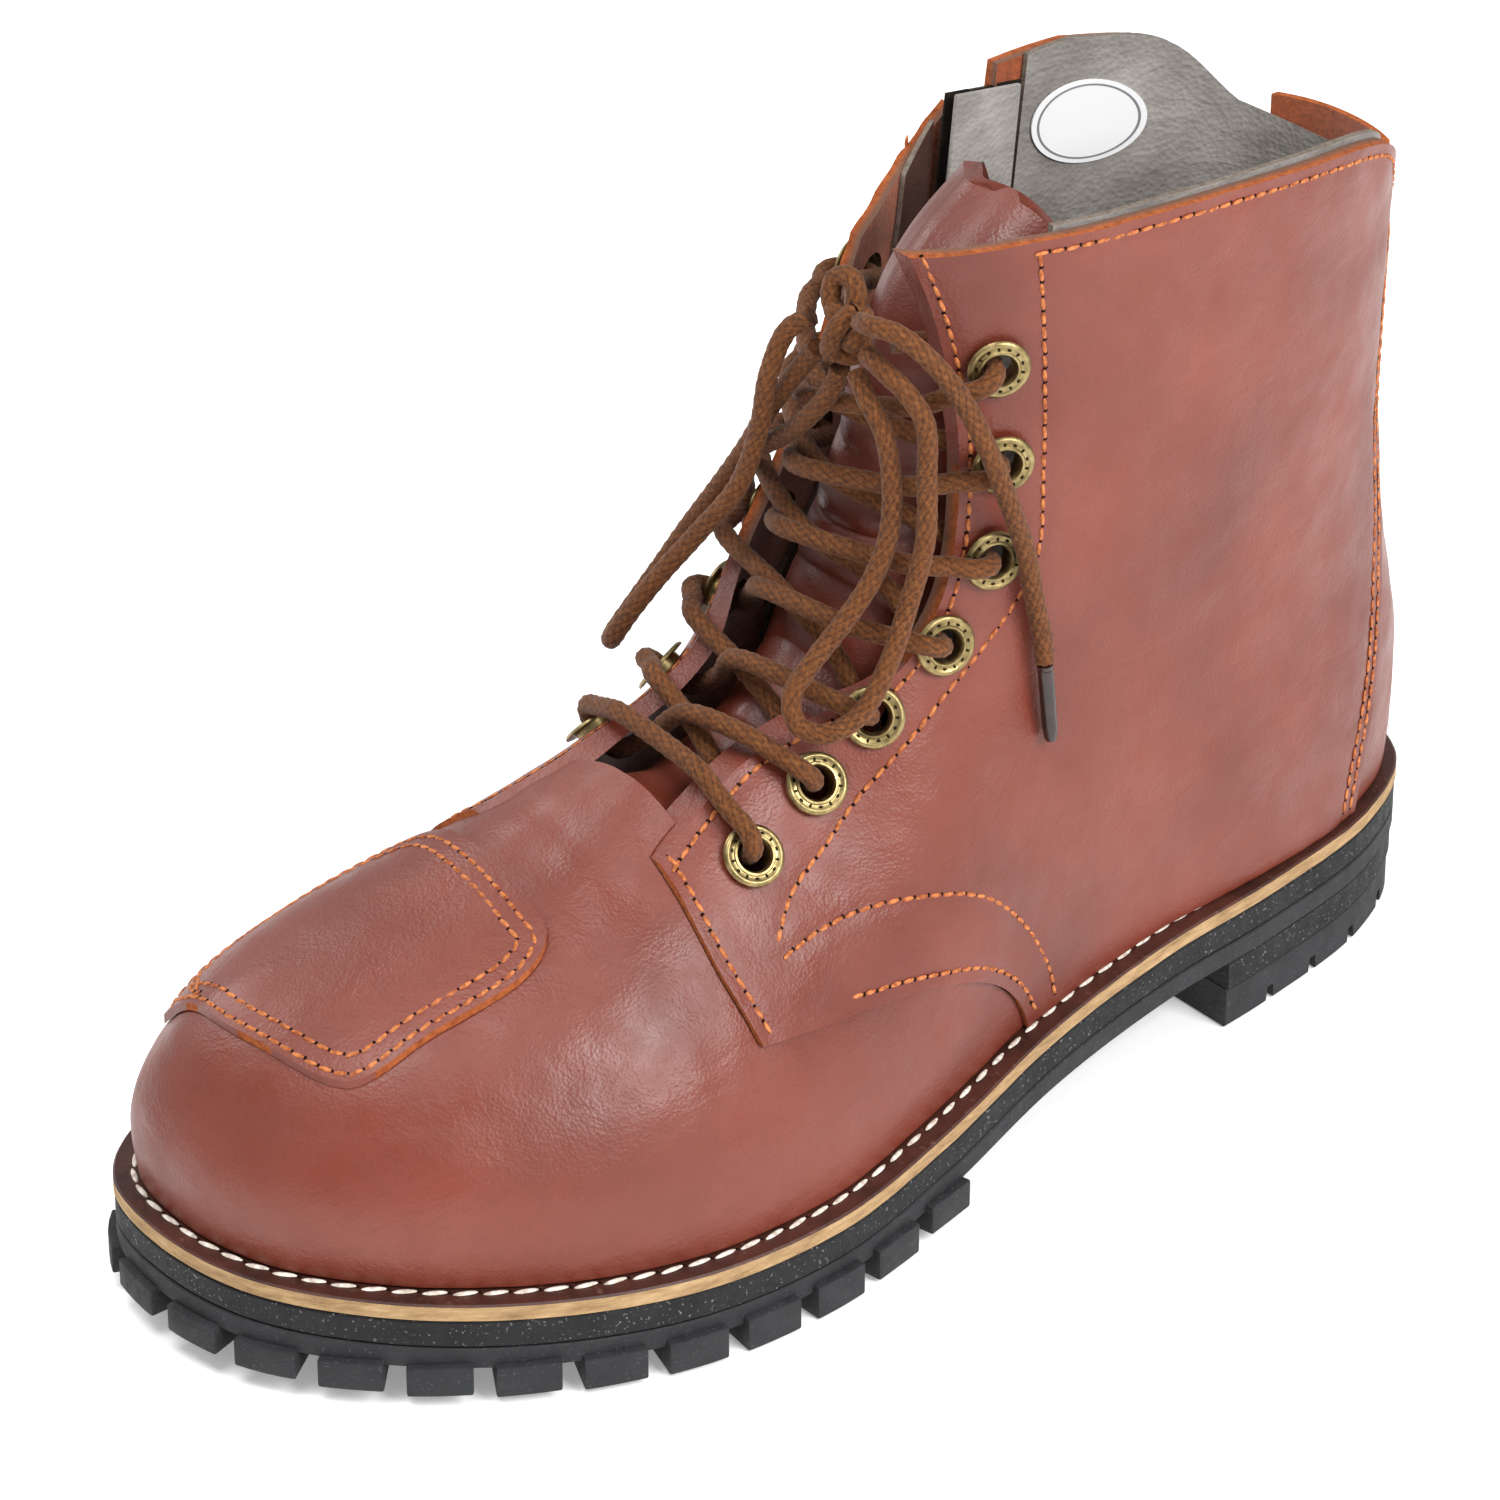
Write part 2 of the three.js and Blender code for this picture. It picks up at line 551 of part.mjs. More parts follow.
// How far a ring is lifted so that its flange clears the leather where that is hollow.
function seat(p, n) {
  const across = new THREE.Vector3(0, 0, 1).cross(n).normalize();
  const along90 = new THREE.Vector3().crossVectors(n, across);
  const heights = Array.from({ length: 8 }, (_, i) => {
    const a = radians(45 * i);
    const q = p.clone().addScaledVector(across, EYELET_RADIUS * Math.cos(a))
      .addScaledVector(along90, EYELET_RADIUS * Math.sin(a));
    return body(q.x, q.y, q.z);
  });
  return Math.max(0, -Math.min(...heights)) + 3 * GAP;
}
const eyelets = Object.entries(SIDES).flatMap(([name, side]) => EYELETS[name].map(([y, z], i) => {
  const p = sidePoint(side, y, z);
  const n = bodyNormal(p);
  return { name: `eyelet_${name}_${i + 1}`, p: p.addScaledVector(n, seat(p, n)), n };
}));
const BARREL_RADIUS = EYELET_HOLE + 0.8;
const turnTo = (n) => new THREE.Quaternion().setFromUnitVectors(new THREE.Vector3(0, 1, 0), n);
function drill(eyelet) {
  const cut = new THREE.CylinderGeometry(BARREL_RADIUS + GAP, BARREL_RADIUS + GAP, 24, 10);
  cut.applyQuaternion(turnTo(eyelet.n));
  cut.translate(eyelet.p.x, eyelet.p.y, eyelet.p.z);
  return toManifold(cut);
}
const drilled = (manifold) => eyelets.reduce((solid, eyelet) => solid.subtract(drill(eyelet)), manifold);

for (const [name, points] of Object.entries(outlines)) {
  const panel = quarterShell.intersect(sidePrism(points, ...panelRange[name]));
  add(name, fromManifold(drilled(panel)), 'upper_leather');
}
const grown = Object.entries(outlines).map(([name, points]) => {
  const [from, to] = panelRange[name];
  return sidePrism(grow(points, GAP), from - GAP, to + GAP);
});
const leatherShell = shell([LEATHER_IN, VAMP_OUT]);
function underQuarters(outlinePoints) {
  const whole = leatherShell.intersect(sidePrism(outlinePoints, -90, 90));
  return fromManifold(grown.reduce((solid, cutter) => solid.subtract(cutter), whole));
}
const VAMP_SIDE = [[-170, 0], [-170, 140], [-50, 140], [-50, 66], [21, 66], [21, 0]];
const HEEL_SIDE = [[110, 0], [110, 152], [132, 155], [140, 158], [170, 158], [170, 0]];
add('vamp', underQuarters(VAMP_SIDE), 'upper_leather');
add('heel_panel', underQuarters(HEEL_SIDE), 'upper_leather');

// Toe patch: a second layer of leather sewn on the toe, with one rounded rear corner.
const TOE_PATCH = [[-40, -129.5], [-14, -131], [11, -124.5], [16, -108], [19.5, -88], [16.5, -81], [8, -79],
  [-10, -76], [-29, -75.5], [-39, -88], [-43, -108]];
add('toe_patch', fromManifold(
  shell([VAMP_OUT + GAP, VAMP_OUT + GAP + 1.3]).intersect(planPrism(TOE_PATCH, 50, 120)),
), 'upper_leather');

// Pull tab: a short strip behind the collar, sewn to the back of the boot.
const PULL_TAB = [[110, 120], [110, 160], [125, 172], [150, 172], [150, 120]];
const pullTabPlan = [[-17, 110], [13, 110], [13, 150], [-17, 150]];
add('pull_tab', fromManifold(
  shell([QUARTER_OUT + GAP, QUARTER_OUT + GAP + 1.4])
    .intersect(sidePrism(PULL_TAB, -90, 90)).intersect(planPrism(pullTabPlan, 110, 180)),
), 'suede');

// Stiffeners and linings, each inside the leather that it backs.
const stiffenerShell = shell(STIFFENER);
add('toe_stiffener', fromManifold(stiffenerShell.intersect(box(-90, 90, -170, -92, 0, 120))), 'stiffener');
const COUNTER = [[76, 0], [84, 40], [100, 62], [118, 70], [160, 70], [160, 0]];
add('heel_counter', fromManifold(stiffenerShell.intersect(sidePrism(COUNTER, -90, 90))), 'stiffener');

const footLining = shell(FOOT_LINING);
const VAMP_LINING = [[-170, 0], [-170, 140], [-60, 140], [-60, 76], [10, 60], [10, 0]];
const HEEL_LINING = [[10.4, 0], [10.4, 60], [60, 73], [170, 73], [170, 0]];
add('vamp_lining', fromManifold(footLining.intersect(sidePrism(VAMP_LINING, -90, 90))), 'lining_leather');
const ZIP_CLEAR = 11.5; // the linings stop this far from the middle of the zip
const zipWindow = [
  zipEdge(44, -ZIP_CLEAR), zipEdge(80, -ZIP_CLEAR), zipEdge(80, ZIP_CLEAR), zipEdge(44, ZIP_CLEAR),
];
add('heel_lining', fromManifold(
  footLining.intersect(sidePrism(HEEL_LINING, -90, 90)).subtract(sidePrism(zipWindow, ...MEDIAL_X)),
), 'lining_leather');

const LINING_RISE = 1.2; // the lining's edge shows above the leather's
const higher = (points, by) => points.map(([y, z]) => [y, z + by]);
const liningFoot = [[150, 73.4], [56, 73.4]];
// The linings start just behind the eyelets.
const lateralLining = smoothOutline([
  [[8, 66], [4, 90], [6, 105], [13, 114], [23.5, 128], [26.5, 150], [26, 172], [27, 197.7]],
  higher(LATERAL_TOP.slice(1), LINING_RISE), [[150, 158]], liningFoot,
]);
const medialRearLining = [
  zipEdge(73.4, ZIP_CLEAR), zipEdge(188, ZIP_CLEAR), ...higher(MEDIAL_REAR_TOP, LINING_RISE),
  [150, 158], [150, 73.4],
];
const medialFrontLining = [
  [16, 73.4], [10, 88], [11, 101], [20, 112], [32, 127], [41, 142], [47, 156], [52, 173],
  zipEdge(181, -ZIP_CLEAR), zipEdge(73.4, -ZIP_CLEAR),
];
const shaftLining = shell(LINING);
add('shaft_lining', fromManifold(shaftLining.intersect(
  sidePrism(lateralLining, 0, 90).add(sidePrism(medialRearLining, -90, 0)),
)), 'lining_leather');
add('medial_front_lining', fromManifold(shaftLining.intersect(sidePrism(medialFrontLining, ...MEDIAL_X))),
  'lining_leather');

// ---- Tongue ----
// Rows from under the vamp up through the throat; each starts inside the body and looks outward.
const TONGUE_X = [-26, 30];
const TONGUE_COLUMNS = 7;
const TONGUE_THICK = 3.6;
const TONGUE_EDGE = 1.3; // its thickness where it is sewn in under the vamp
// [start y, start z, lean of the look from forward to up in degrees, depth, backward shift]
const TONGUE_ROWS = [
  [-50, 40, 90, 1.8, 0], [-47, 40, 90, 5.6, 0], [-41, 42, 90, 9.6, 0], [-28, 50, 84, 10.3, 0],
  [-10, 60, 70, 10.3, 0], [10, 75, 55, 10.3, 0], [30, 95, 35, 10.3, 0], [40, 118, 15, 10.3, 0],
  [50, 138, 0, 10.3, 0], [50, 154, 0, 10.3, 0], [50, 168, 0, 10.3, 3], [50, 181, 0, 10.3, 12],
  [50, 192, 0, 10.3, 27],
];
function tongueRow([startY, startZ, lean, depth, shift], extra) {
  const way = new THREE.Vector3(0, -Math.cos(radians(lean)), Math.sin(radians(lean)));
  return Array.from({ length: TONGUE_COLUMNS }, (_, i) => {
    const x = lerp(...TONGUE_X, i / (TONGUE_COLUMNS - 1));
    const p = leaves(new THREE.Vector3(x, startY, startZ), way);
    p.addScaledVector(bodyNormal(p), -depth - extra);
    p.y += shift;
    return p;
  });
}
add('tongue', between(
  TONGUE_ROWS.map((row, i) => tongueRow(row, i === 0 ? TONGUE_EDGE : TONGUE_THICK)),
  TONGUE_ROWS.map((row) => tongueRow(row, 0)),
), 'tongue_leather');

// ---- Eyelets ----
const RING_FOOT = QUARTER_OUT + GAP;
const RING_TOP = RING_FOOT + 0.9;
const RING_PROFILE = [
  [EYELET_HOLE, -1.4], [BARREL_RADIUS, -1.9], [BARREL_RADIUS, RING_FOOT],
  [EYELET_RADIUS, RING_FOOT], [EYELET_RADIUS - 0.5, RING_TOP], [BARREL_RADIUS, RING_TOP], [EYELET_HOLE, 1.9],
];
for (const { name, p, n } of eyelets) {
  const profile = [...RING_PROFILE, RING_PROFILE[0]].map(([r, h]) => new THREE.Vector2(r, h));
  const ring = add(name, new THREE.LatheGeometry(profile, 10), 'eyelet_brass');
  ring.position.copy(p);
  ring.quaternion.copy(turnTo(n));
}

// ---- Side zip ----
// It is straight. Local frame: x across it towards the toe, y up along it, z outward.
const ZIP_LINE = { top: new THREE.Vector3(-37, 73.5, 184), bottom: new THREE.Vector3(-29.6, 52, 48) };
const zipLength = ZIP_LINE.top.distanceTo(ZIP_LINE.bottom);
const zipUp = ZIP_LINE.top.clone().sub(ZIP_LINE.bottom).normalize();
const zipAcross = new THREE.Vector3(0, -1, 0).addScaledVector(zipUp, zipUp.y).normalize();
const zipGroup = new THREE.Group();
zipGroup.applyMatrix4(new THREE.Matrix4().makeBasis(
  zipAcross, zipUp, new THREE.Vector3().crossVectors(zipAcross, zipUp),
).setPosition(ZIP_LINE.top));
boot.add(zipGroup);

const block = (x0, x1, y0, y1, z0, z1) => new THREE.BoxGeometry(x1 - x0, y1 - y0, z1 - z0)
  .translate((x0 + x1) / 2, (y0 + y1) / 2, (z0 + z1) / 2);
const TAPE = { inner: 3.9, outer: 10, half: 0.3 };
const TEETH = { inner: 0.6, root: 2.2, outer: 3.6, half: 1.2, pitch: 4 };
const SLIDER = { half: 4.4, length: 13, plateIn: 1.5, plateOut: 2.4 };
const BRIDGE_HIGH = 2.4; // the pull's pivot above the slider's outer face
const toothCount = Math.floor((zipLength - 3) / TEETH.pitch);
// The comb of teeth on one side, one tooth for each pitch.
function teeth(side) {
  const points = [[TEETH.outer, 0]];
  for (let i = 0; i < toothCount; i += 1) {
    const y = -i * TEETH.pitch;
    points.push([TEETH.inner, y], [TEETH.inner, y - TEETH.pitch / 2], [TEETH.root, y - TEETH.pitch / 2]);
    if (i < toothCount - 1) points.push([TEETH.root, y - TEETH.pitch]);
  }
  points.push([TEETH.outer, -(toothCount - 0.5) * TEETH.pitch]);
  const shape = new THREE.Shape(points.map(([x, y]) => new THREE.Vector2(side * x, y)));
  return new THREE.ExtrudeGeometry(shape, { depth: 2 * TEETH.half, bevelEnabled: false, steps: 1 })
    .translate(0, 0, -TEETH.half);
}
for (const [name, side] of [['front', 1], ['rear', -1]]) {
  const [from, to] = [side * TAPE.inner, side * TAPE.outer].sort((a, b) => a - b);
  add(`zip_tape_${name}`, block(from, to, 4 - zipLength, 1, -TAPE.half, TAPE.half), 'zip_tape', zipGroup);
  add(`zip_teeth_${name}`, teeth(side), 'zip_metal', zipGroup);
}
const stopTop = -(toothCount - 0.5) * TEETH.pitch - GAP;
add('zip_bottom_stop', block(-3.2, 3.2, stopTop - 3, stopTop, -1.6, 1.6), 'zip_metal', zipGroup);
add('zip_guard', block(-6, 11, 2 - zipLength, 2, -4.6, -3.4), 'lining_leather', zipGroup);

// Slider: two plates joined by a web between the rows of teeth, and a bridge for the pull.
const plate = (low, high) => toManifold(block(-SLIDER.half, SLIDER.half, -SLIDER.length, 0, low, high));
const bridgeY = -5; // along the slider
const pivotZ = SLIDER.plateOut + BRIDGE_HIGH;
const KNUCKLE = { outer: 1.9, bore: 1, half: 1.4 };
const PIN_RADIUS = 0.6;
const rod = (radius, half) => toManifold(
  new THREE.CylinderGeometry(radius, radius, 2 * half, 10).rotateZ(radians(90)).translate(0, bridgeY, pivotZ),
);
const ears = [[-2.8, -1.8], [1.8, 2.8]].map(([from, to]) => toManifold(
  block(from, to, bridgeY - 1, bridgeY + 1, SLIDER.plateOut - 0.2, pivotZ + 0.9),
));
const web = toManifold(block(-0.3, 0.3, -6, -0.5, -SLIDER.plateIn - 0.2, SLIDER.plateIn + 0.2));
const slider = [plate(-SLIDER.plateOut, -SLIDER.plateIn), web, ...ears, rod(PIN_RADIUS, 2.3)]
  .reduce((solid, piece) => solid.add(piece), plate(SLIDER.plateIn, SLIDER.plateOut));
add('zip_slider', fromManifold(slider), 'zip_metal', zipGroup);

// Pull: a tab that hangs from the slider's pin.
const pull = rod(KNUCKLE.outer, KNUCKLE.half)
  .add(toManifold(block(-1.4, 1.4, bridgeY - 6, bridgeY - 1.2, pivotZ - 0.6, pivotZ + 0.6)))
  .add(toManifold(block(-3.2, 3.2, bridgeY - 24, bridgeY - 5, pivotZ - 0.6, pivotZ + 0.6)))
  .subtract(rod(KNUCKLE.bore, 3));
add('zip_pull', fromManifold(pull), 'zip_metal', zipGroup);

// ---- Size label, a blank oval on the lining ----
const LABEL = { y: 98, z: 171, long: 12.5, short: 8.8, tilt: -8 };
const labelOutline = Array.from({ length: 16 }, (_, i) => {
  const [a, tilt] = [radians(i * 22.5), radians(LABEL.tilt)];
  const [u, w] = [LABEL.long * Math.cos(a), LABEL.short * Math.sin(a)];
  return [
    LABEL.y + u * Math.cos(tilt) - w * Math.sin(tilt), LABEL.z + u * Math.sin(tilt) + w * Math.cos(tilt),
  ];
});
add('care_label', fromManifold(
  shell([LINING[0] - GAP - 0.3, LINING[0] - GAP]).intersect(sidePrism(labelOutline, ...MEDIAL_X)),
), 'label_paper');

// ---- Laces ----
// A round cord through a list of points, with one ring of corners at each point.
function cord(points, sides = 8) {
  const curve = new THREE.CatmullRomCurve3(points, false, 'centripetal');
  curve.getUtoTmapping = (u) => u;
  const ring = Array.from({ length: sides }, (_, i) => radians((360 * i) / sides));
  const section = new THREE.Shape(
    ring.map((a) => new THREE.Vector2(Math.cos(a), Math.sin(a)).multiplyScalar(LACE_RADIUS)),
  );
  const settings = { steps: points.length - 1, extrudePath: curve, bevelEnabled: false };
  return new THREE.ExtrudeGeometry(section, settings);
}

// Height over the body surface of a lace that passes through an eyelet, at distances from its centre.
const OVER = [[9, 4.9], [5, 4.95], [2.4, 4.5], [0.9, 2.6], [0.7, 0.2]];
const UNDER_LEATHER = [[0.9, -1.9], [1.8, -4.6], [5, -6]];
const NEAR_RING = 7; // closer than this, heights count from the eyelet itself
const FACING_REACH = 15.5;
const CROSS_HIGH = -0.3;
const CROSS_LOW = -4.9;
const eyeletAt = (side, row) => eyelets.find(({ name }) => name === `eyelet_${side}_${row}`);

// The surface point outward of `p`, moved off by `height`.
function offSurface(p, way, height) {
  const on = leaves(p.clone().addScaledVector(way, -36), way);
  return on.addScaledVector(bodyNormal(on), height);
}
function crossing(row, height) {
  const around = Object.keys(SIDES).flatMap((side) => [eyeletAt(side, row), eyeletAt(side, row + 1)]);
  const middle = around.reduce((sum, { p }) => sum.add(p), new THREE.Vector3()).divideScalar(4);
  const way = around.reduce((sum, { n }) => sum.add(n), new THREE.Vector3()).normalize();
  return offSurface(middle, way, height);
}
// Points from an eyelet towards `target`, over or under the facing.
function thread(side, row, target, table) {
  const { p, n } = eyeletAt(side, row);
  const way = target.clone().sub(p);
  way.addScaledVector(n, -way.dot(n)).normalize();
  return table.map(([s, height]) => {
    const q = p.clone().addScaledVector(way, s);
    return s < NEAR_RING ? q.addScaledVector(n, height) : offSurface(q, n, height);
  });
}
const other = { lateral: 'medial', medial: 'lateral' };
// From under an eyelet, across the throat, and down through the next eyelet on the other side.
function strand(side, row) {
  const high = side === 'medial';
  const cross = crossing(row, high ? CROSS_HIGH : CROSS_LOW);
  const leave = thread(side, row, cross, [...UNDER_LEATHER, [FACING_REACH, -4.9]]);
  const enter = thread(other[side], row + 1, cross, [[FACING_REACH, 4.3], ...OVER]);
  return [...leave, cross, ...enter];
}
function halfLacing(side) {
  const points = [];
  let from = side;
  for (let row = 1; row < EYELETS.lateral.length; row += 1) {
    points.push(...strand(from, row));
    from = other[from];
  }
  return { points, last: from };
}
const KNOT = new THREE.Vector3(11, -2.6, 176.5);
const KNOT_SIZE = [6.3, 5.3, 7.2];
const KNOT_EXIT = { lateral: [5.6, 6, -2.6], medial: [-5.6, 6, -1.6] };
function toKnot(side) {
  const exit = KNOT.clone().add(new THREE.Vector3(...KNOT_EXIT[side]));
  return [...thread(side, EYELETS.lateral.length, exit, [...UNDER_LEATHER, [FACING_REACH - 2, -4.9]]), exit];
}
const bar = ['lateral', 'medial'].map((side) => {
  const middle = eyeletAt('lateral', 1).p.clone().lerp(eyeletAt('medial', 1).p, 0.5);
  return thread(side, 1, middle, [[18, 3.6], [FACING_REACH, 3.9], ...OVER]);
});
const halves = ['lateral', 'medial'].map((side) => halfLacing(side));
const lacedRoute = [
  ...toKnot(halves[0].last).reverse(), ...halves[0].points.reverse(), ...bar[0].slice().reverse(),
  ...bar[1], ...halves[1].points, ...toKnot(halves[1].last),
];
add('lace_laced', cord(lacedRoute, 6), 'lace_cord');
const knot = new THREE.SphereGeometry(1, 12, 8).scale(...KNOT_SIZE).translate(...KNOT.toArray());
add('lace_knot', knot, 'lace_cord');

const BOW_LOOP_LATERAL = [
  [18.9, -5.1, 175.8], [24, -5.6, 174.6], [28.5, -3.4, 170.6], [31.3, -1.4, 164.7], [32, -1.4, 153.6],
  [33.3, -2.7, 141.3], [33.1, -6.8, 128.1], [33.4, -11.6, 118], [33.4, -18.4, 109.6], [30.6, -24.4, 106.2],
  [26, -27.6, 107.4], [22.8, -26.4, 111.8], [22.6, -21.2, 117], [23.6, -15.2, 123], [25.4, -9.1, 131.5],
  [26.2, -5.6, 140.5], [25.3, -4.2, 151.2], [23.5, -5, 161.5], [20, -6.4, 168], [16.1, -5.1, 170.4],
];
const BOW_LOOP_MEDIAL = [
  [3.1, -5.1, 177.2], [-1, -7.4, 173.4], [-3.4, -10, 164], [-5.4, -10.6, 152], [-9.6, -12.4, 138],
  [-16.4, -16.4, 126.6], [-23, -20.4, 116], [-28.6, -23.8, 106], [-33.2, -24.6, 98.4], [-37.6, -20.2, 96.6],
  [-38, -14.6, 101], [-34.6, -11, 109], [-29.4, -8.4, 119], [-22.6, -6.6, 130], [-15, -5.6, 142],
  [-8.6, -5.4, 153], [-2.4, -5, 162], [1.6, -4.8, 167.4], [4.95, -5.1, 171.4],
];
const LACE_END_LATERAL = [
  [17.05, -5.1, 181.6], [22.4, -7, 183.6], [27.8, -4.8, 183], [32.4, 0.6, 176.2], [34.8, 5.6, 167.4],
  [37.2, 9.4, 157.4], [38.2, 13.3, 146.6], [37.6, 18.9, 132.6], [37.6, 21.7, 120.3], [37.7, 23.9, 110.9],
  [37.8, 24.3, 106.9],
];
const LACE_END_MEDIAL = [
  [10.3, -4.1, 168.6], [8, -4.6, 163], [2, -4.4, 155.4], [-7, -2.8, 147], [-17, -0.4, 139.4],
  [-27.6, 3.6, 131.4], [-34.6, 10.2, 121.4], [-38.6, 14.6, 112], [-39.4, 16.6, 104],
];
const FREE_LACES = {
  bow_loop_lateral: BOW_LOOP_LATERAL, bow_loop_medial: BOW_LOOP_MEDIAL,
  lace_end_lateral: LACE_END_LATERAL, lace_end_medial: LACE_END_MEDIAL,
};
for (const [name, route] of Object.entries(FREE_LACES)) {
  add(name, cord(route.map((p) => new THREE.Vector3(...p))), 'lace_cord');
}

// Aglets: the stiff tips of the two free ends.
const AGLET = { radius: 1.6, tip: 1.25, length: 17 };
for (const [side, route, drop] of [
  ['lateral', LACE_END_LATERAL, [1.4, 0.8, -17]], ['medial', LACE_END_MEDIAL, [0.8, 1.6, -17]],
]) {
  const way = new THREE.Vector3(...drop).normalize();
  const profile = [[0, 0], [AGLET.radius, 0], [AGLET.radius, 14], [AGLET.tip, AGLET.length], [0, AGLET.length]]
    .map((p) => new THREE.Vector2(...p));
  const tip = add(`aglet_${side}`, new THREE.LatheGeometry(profile, 10), 'aglet');
  tip.position.set(...route.at(-1)).addScaledVector(way, 2 * GAP);
  tip.quaternion.copy(turnTo(way));
}

export default boot;
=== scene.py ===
"""A brown leather boot for the left foot, with laces, a side zip and a lug sole.

Shapes are worked out in millimetres and placed in metres. The toe points along -Y, the outer side of the
boot along +X, and the boot stands on Z = 0.
"""

import math
import random

import bmesh
import bpy
import numpy as np
from mathutils import Matrix, Vector, noise


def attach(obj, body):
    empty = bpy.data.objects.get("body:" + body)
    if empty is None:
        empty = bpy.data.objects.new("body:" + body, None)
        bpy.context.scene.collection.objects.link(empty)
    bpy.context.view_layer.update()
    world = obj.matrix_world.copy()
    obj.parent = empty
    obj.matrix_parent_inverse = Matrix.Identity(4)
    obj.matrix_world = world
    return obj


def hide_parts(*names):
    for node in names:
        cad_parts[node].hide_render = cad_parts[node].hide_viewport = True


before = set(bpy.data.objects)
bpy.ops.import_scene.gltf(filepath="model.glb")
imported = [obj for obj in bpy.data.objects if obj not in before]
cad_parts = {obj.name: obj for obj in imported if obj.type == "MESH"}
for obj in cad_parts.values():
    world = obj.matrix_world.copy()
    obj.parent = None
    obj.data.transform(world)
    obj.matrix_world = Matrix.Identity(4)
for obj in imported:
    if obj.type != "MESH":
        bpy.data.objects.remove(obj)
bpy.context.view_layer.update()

MM = 0.001
GAP = 0.3
STITCH_SEED = 7
random.seed(STITCH_SEED)

# ---- Driving dimensions, in millimetres ----
WELT_TOP_BALL = 19.8
WELT_TOP_HEEL = 30.6
TOE_SPRING = 5.2
WELT_THICK = 3.7
MIDSOLE_THICK = 6.0
OUTSOLE_BODY = 4.6
HEEL_BLOCK_HIGH = 9.0
HEEL_BREAST_Y = 77
FEATHER_INSET = 5.6
LEATHER_IN = -1.5
VAMP_OUT = 0.3
QUARTER_OUT = 1.5
LINING = (-3.0, -1.8)
FOOT_LINING = (-4.7, -3.4)
LACE_RADIUS = 1.95
EYELET_RADIUS = 6.1
EYELET_HOLE = 3.1
BLEND = 11
SHAFT_POWER = 2.2
OPEN_MEDIAL = 20
COLLAR_CUT_Z = 212
COLLAR_U = 0.6
AXIS_X = -7

WELT_EDGE = [
    (-14, -150.5), (8, -146), (29, -130), (46, -106), (57, -77), (59, -46), (53, -12), (45, 22),
    (40.5, 57), (37, 92), (30.5, 123), (18, 143), (-1, 149.5), (-21, 144), (-33.5, 123), (-36, 92),
    (-37, 60), (-39.5, 26), (-45.5, -8), (-54, -37), (-59, -68), (-58.5, -99), (-51, -128), (-36, -146),
]
# Side-view stations of the foot: y, ridge height, rounding width, rounding power.
FOOT_STATIONS = np.array([
    (-150, 63, 37, 2.8), (-120, 67, 39, 2.7), (-100, 72.5, 43, 2.4), (-80, 79, 46, 2.1), (-60, 88, 49, 1.85),
    (-40, 100, 50, 1.7), (-20, 111, 45, 1.75), (0, 129, 34, 1.9), (20, 138, 30, 2.0), (45, 138, 28, 2.2),
    (90, 116, 28, 2.6), (150, 104, 28, 2.8),
])
# Shaft stations: z, front y, back y, half width.
SHAFT_STATIONS = np.array([
    (20, 30, 141, 29), (60, 22, 141, 32), (90, 8, 139, 34), (120, -5, 137, 37), (150, -3, 136, 39),
    (180, -3, 136, 41), (212, -3, 137, 43),
])
EYELETS = {
    "lateral": [(-41, 84), (-23.6, 92.5), (-10, 103), (5, 114.6), (16, 130), (18.5, 150), (17, 171)],
    "medial": [(-36, 85.5), (-20, 94), (-2, 103.5), (13, 116), (25, 129), (34, 143), (40, 157)],
}
SIDES = {"lateral": 1, "medial": -1}
OTHER = {"lateral": "medial", "medial": "lateral"}

# Panel outlines in side view, as y and z.
FACING_FRONT = {"lateral": [(-54, 57), (-57, 72), (-57, 86)], "medial": [(-62, 60), (-68, 72), (-66, 80)]}
FACING_EDGE = {
    "lateral": [(-57, 86), (-48, 91), (-36, 97), (-22, 102.5), (-4.5, 111), (6, 124.5), (10.8, 150), (7, 178),
                (3, 194)],
    "medial": [(-66, 80), (-47, 91), (-33, 97), (-20, 103), (-8, 111.5), (6, 123), (20, 141), (30, 158),
               (36, 167)],
}
WING_EDGE = [(20, 10), (19, 27), (13, 38), (2, 47), (-12, 52), (-32, 55)]
LATERAL_TOP = [(22, 196.5), (52, 197), (85, 194), (108, 189), (122, 181), (130, 169)]
SEAM = [(131, 160), (130, 148), (129, 125), (130, 100), (128, 80), (124, 60), (120, 40), (118, 10)]
MEDIAL_REAR_TOP = [(96, 188), (115, 184), (126, 171)]
MEDIAL_FRONT_TOP = [(48, 171), (60, 177)]
UNDER = [(118, 5), (20, 5)]
ZIP_TOP = (73.5, 184)
ZIP_BOTTOM = (52, 48)
ZIP_HALF_SLIT = 5.5
ZIP_CLEAR = 11.5
TOE_PATCH = [(-40, -129.5), (-14, -131), (11, -124.5), (16, -108), (19.5, -88), (16.5, -81), (8, -79),
             (-10, -76), (-29, -75.5), (-39, -88), (-43, -108)]


# ---- Curves ----
def fade(value, start, over):
    """Rises evenly from 0 at `start` to 1 at `start + over`."""
    return np.clip((value - start) / over, 0, 1)


def unit(rows):
    """Each row scaled to length 1."""
    return rows / np.linalg.norm(rows, axis=1)[:, None]


